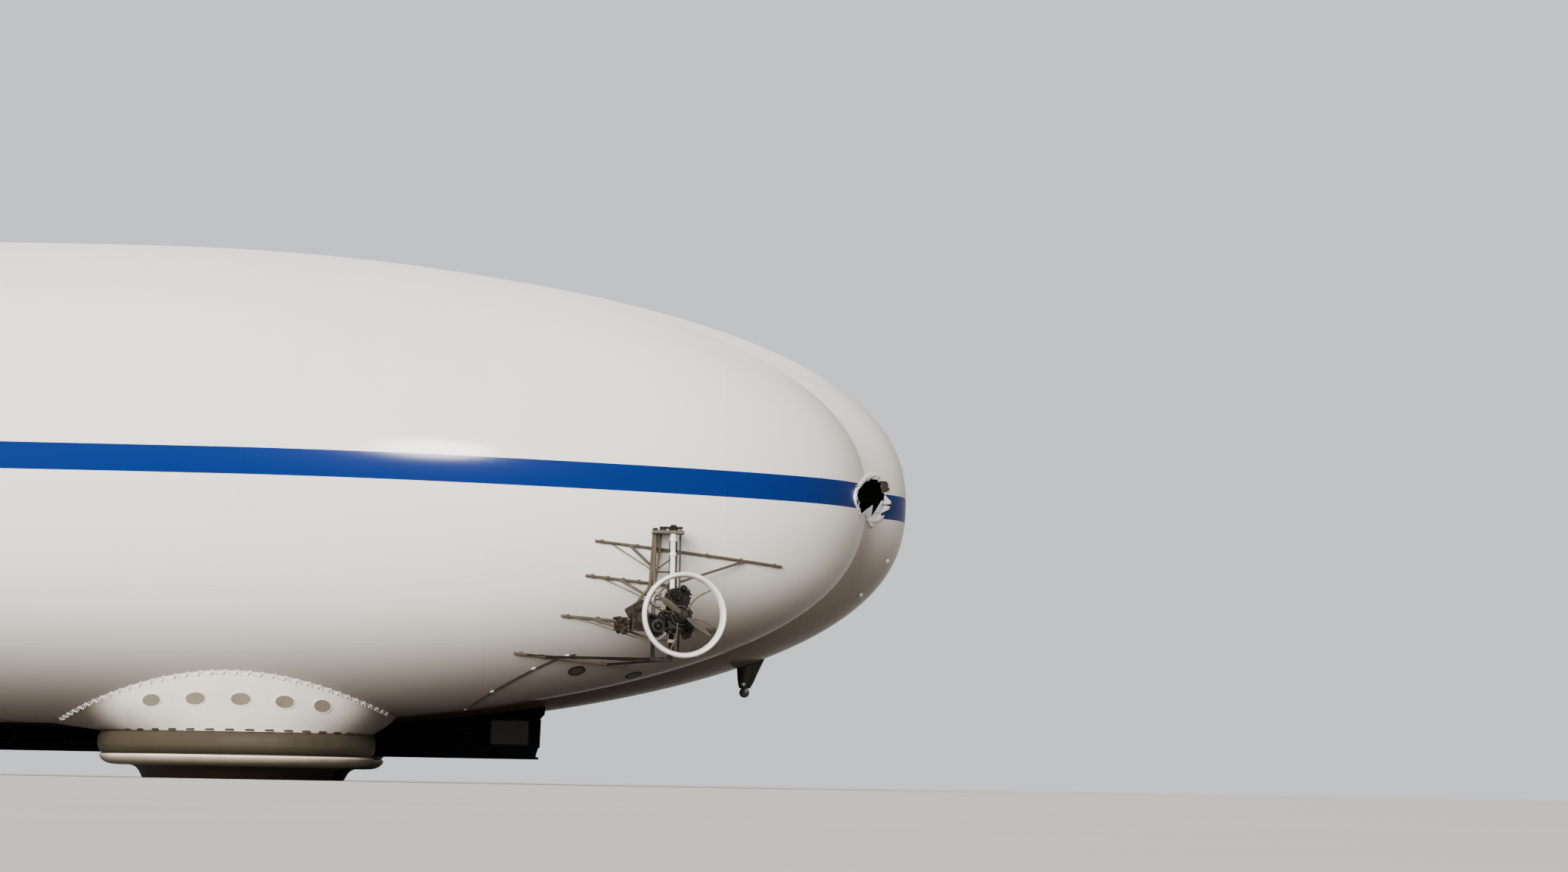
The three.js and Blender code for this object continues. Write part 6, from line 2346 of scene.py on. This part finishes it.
@dataclass
class Nose:
    """The sensor pod under the nose, and the small fittings on the skin."""

    hull: Hull
    line: tuple[tuple[float, float], ...] = (
        # place along X and height of a control line's points on the flank
        (10.24, 1.2), (10.56, 1.41), (10.82, 1.58), (11.32, 1.86), (11.77, 2.07), (12.13, 2.18),
    )

    def build(self) -> None:
        """Makes the pod, the rope cones, the vents and the taut lines."""
        sections = [
            # height, rear X, front X, half width
            (2.62, 15.3, 16.08, 0.155), (2.5, 15.33, 15.955, 0.15), (2.34, 15.332, 15.87, 0.146),
            (2.18, 15.335, 15.795, 0.14), (2.05, 15.345, 15.735, 0.128), (1.93, 15.355, 15.685, 0.115),
            (1.84, 15.37, 15.64, 0.102), (1.77, 15.39, 15.6, 0.088),
        ]
        rows = [
            [
                ((rear + front) / 2 + (front - rear) / 2 * cos(t), half * sin(t) * (1 - 0.12 * cos(t)), z)
                for t in circle(28)
            ]
            for z, rear, front, half in sections
        ]
        pylon = Shape().grid(rows, around=True, caps=True)
        piece("Nose pod", pylon, Paints.IRON, "engine", ["nose_pod"], radians(50))
        middle = (15.49, 0, 1.69)
        ball = [(0.098 * sin(t), -0.098 * cos(t)) for t in arc(25, 0, 180)]
        piece("Sensor ball", Shape().turned(ball, 36, Matrix.Translation(middle)), Paints.RUBBER, "engine")
        eye = axis_place(middle, (0.35, -0.85, 0.42))
        lens = Shape()
        lens.turned([(0, 0.09), (0.03, 0.09), (0.034, 0.102), (0.028, 0.106), (0, 0.103)], 24, eye)
        knob = [(0.042 * sin(t), 0.02 - 0.042 * cos(t)) for t in arc(13, 0, 180)]
        lens.turned(knob, 18, axis_place((15.46, -0.098, 1.85), (0, -1, 0.1)))
        piece("Sensor lenses", lens, Paints.BRIGHT, "engine")
        self.build_cones()
        self.build_vents()
        self.build_lines()

    def build_cones(self) -> None:
        """Makes the white rope domes on the nose, each on a dark ring of painted shadow where it meets the
        skin.
        """
        dome = [(0, 0.0), (0.058, 0.0), (0.056, 0.014), (0.044, 0.036), (0.024, 0.05), (0, 0.055)]
        # a dark ring around each dome's base: painted shadow
        foot = [(0, -0.01), (0.068, -0.01), (0.066, 0.004), (0, 0.006)]
        domes, shadow_rings = Shape(), Shape()
        for _, side in SIDES:
            for x, z in ((18.12, 4.18), (17.67, 3.51)):
                at = axis_place(*self.hull.onto((x + 1.0, side * 1.9, z - 0.6), (-1.0, -side * 0.9, 0.6)))
                domes.turned(dome, 24, at)
                shadow_rings.turned(foot, 24, at)
        piece("Rope domes", domes, Paints.WHITE, "ring")
        # the dark rings in black rubber are painted shadow
        piece("Rope dome feet", shadow_rings, Paints.RUBBER, "frame")

    def build_vents(self) -> None:
        """Makes the gas valves under the hull."""
        rims, faces = Shape(), Shape()
        rim = [(0.13, -0.01), (0.158, -0.01), (0.155, 0.012), (0.137, 0.014), (0.13, -0.01)]
        face = [(0, 0.004), (0.05, 0.01), (0.09, 0.007), (0.132, 0.006), (0.132, -0.006), (0, -0.006)]
        for x, y in ((12.17, 5.53), (13.21, 4.66), (-6.0, 5.2), (-10.5, 4.6), (1.5, 5.6)):
            for _, side in SIDES:
                at = axis_place(*self.hull.onto((x, side * y, -2), (0, 0, 1)), (1, 0, 0))
                rims.turned(rim, 40, at)
                faces.turned(face, 40, at)
        piece("Valve rims", rims, Paints.TRIM, "frame")
        piece("Valve faces", faces, Paints.RUBBER, "frame")

    def build_lines(self) -> None:
        """Makes the taut control lines that lie along the hull's underside."""
        runs, spots = [], []
        course = curve_through([(x, 0, z) for x, z in self.line], 5)
        for _, side in SIDES:
            line = [self.hull.beside(p.x, p.z, side, 0.012) for p in course]
            runs.append((line, 0.014))
            for i in (0, 8, 16, 23):
                outward = self.hull.onto(line[i] + Vector((0, side, -0.4)), (0, -side, 0.4))[1]
                spots.append((line[i], outward, line[i + 1] - line[i]))
        piece("Control lines", tubework(runs, Paints.RUBBER, 8), Paints.RUBBER, "frame")
        patch = Shape().turned([(0, -0.014), (0.05, -0.014), (0.045, 0.0), (0.018, 0.006), (0, 0.006)], 18)
        piece("Line patches", repeated(patch, spots, Paints.WHITE), Paints.WHITE, "envelope")


# The studio


@dataclass
class Studio:
    """A pale floor, soft light and the photograph's viewpoint."""

    eye: Vector = field(default_factory=lambda: Vector((10.497, -80.98, 0.05)))
    pan: float = 4.0
    pitch: float = 4.7
    roll: float = 1.03
    focal_pixels: float = 5626.58
    picture_width: float = 2072.0
    sensor: float = 36.0
    reach: float = 900.0
    light: float = 0.66
    light_colour: str = "fffaf4"
    backdrop: str = "f1f6fb"
    ground: str = "4b3e2c"
    suns: tuple[tuple[str, float, float, str, tuple[float, float, float]], ...] = (
        # name, strength, spread, colour, direction
        ("Key", 8.4, 36, "fffcf8", (-0.38, -0.89, 0.24)),
        ("Fill", 1.4, 60, "fffcf8", (-0.2, 0.8, 0.6)),
        ("Glare", 3.4, 9, "ffffff", (0.237, -0.923, 0.3)),
    )

    def build(self) -> None:
        """Makes the floor, the lights and the camera."""
        self.build_floor()
        self.build_light()
        self.build_camera()

    def build_floor(self) -> None:
        """Makes the pale floor, which throws back the brown light of bare ground."""
        corners = [[(x, y, 0.0) for x in (-self.reach, self.reach)] for y in (-self.reach, self.reach)]
        mesh = Shape().grid(corners).mesh()
        floor = linked("Floor", mesh)
        finish = Finish("Studio floor", "c4c3bf", roughness=0.8, grain=Grain.NONE, soil=0.0, specular=0.1)
        material = finish.material()
        mesh.materials.append(material)
        if mesh.polygons[0].normal.z < 0:
            mesh.flip_normals()
        g = Graph(material.node_tree)
        nodes = material.node_tree.nodes
        ground = g.add("ShaderNodeBsdfDiffuse", {"Color": linear(self.ground)}).outputs[0]
        share = g.add("ShaderNodeLightPath").outputs["Is Diffuse Ray"]
        both = g.add("ShaderNodeMixShader", {0: share, 1: nodes["Principled BSDF"].outputs[0], 2: ground})
        g.feed(nodes["Material Output"], {"Surface": both.outputs[0]})

    def build_light(self) -> None:
        """Makes the overhead light, the soft fill and the low light that gives the glare."""
        world = bpy.data.worlds.new("Studio")
        bpy.context.scene.world = world
        world.use_nodes = True
        g = Graph(world.node_tree)
        nodes = world.node_tree.nodes
        g.feed(nodes["Background"], {"Color": linear(self.light_colour), "Strength": self.light})
        seen = g.add("ShaderNodeBackground", {"Color": linear(self.backdrop), "Strength": 1.0}).outputs[0]
        share = g.add("ShaderNodeLightPath").outputs["Is Camera Ray"]
        both = g.add("ShaderNodeMixShader", {0: share, 1: nodes["Background"].outputs[0], 2: seen})
        g.feed(nodes["World Output"], {"Surface": both.outputs[0]})
        for name, energy, spread, colour, toward in self.suns:
            sun = bpy.data.lights.new(name, "SUN")
            sun.energy = energy
            sun.angle = radians(spread)
            sun.color = linear(colour)[:3]
            lamp = linked(name, sun)
            lamp.location = Vector(toward).normalized() * 60
            lamp.rotation_euler = Vector(toward).to_track_quat("Z", "Y").to_euler()
            lamp.visible_diffuse = name != "Glare"
            lamp.visible_glossy = name != "Key"

    def build_camera(self) -> None:
        """Makes the camera at the photograph's place, at floor level."""
        data = bpy.data.cameras.new("Camera")
        data.sensor_width = self.sensor
        data.lens = self.sensor * self.focal_pixels / self.picture_width
        data.clip_end = 3000
        pan, pitch, roll = (radians(v) for v in (self.pan, self.pitch, self.roll))
        forward = Vector((sin(pan) * cos(pitch), cos(pan) * cos(pitch), sin(pitch)))
        level = forward.cross(Vector((0, 0, 1))).normalized()
        up = level.cross(forward)
        right = level * cos(roll) + up * sin(roll)
        up = up * cos(roll) - level * sin(roll)
        camera = linked("Camera", data)
        turn = Matrix((right, up, -forward)).transposed()
        camera.matrix_world = Matrix.Translation(self.eye) @ turn.to_4x4()
        bpy.context.scene.camera = camera


def main() -> None:
    """Builds the airship around its frame, piece by piece."""
    logging.basicConfig(level=logging.INFO, format="%(name)s: %(message)s")
    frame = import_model()
    joints = {j["name"]: j["pos_m"] for j in frame["joints"]}
    Studio().build()
    hull = Hull()
    tear = Tear()
    hull.build(tear)
    tear.build(hull)
    for end in ("front", "rear"):
        for hand, _ in SIDES:
            Pad(end, hand, hull).build()
    Gondola(hull, frame["nodes"]).build()
    for end in ("front", "stern"):
        for hand, side in SIDES:
            Propulsor(end, hand, side, hull, joints).build()
    for hand, side in SIDES:
        TailSurface("upper", hand, side, hull, 57, 1.5, 7.0, 2.15, 6.85).build()
        TailSurface("lower", hand, side, hull, -30, 1.5, 5.5, 2.15, 5.35).build()
    Nose(hull).build()


if __name__ == "__main__":
    main()
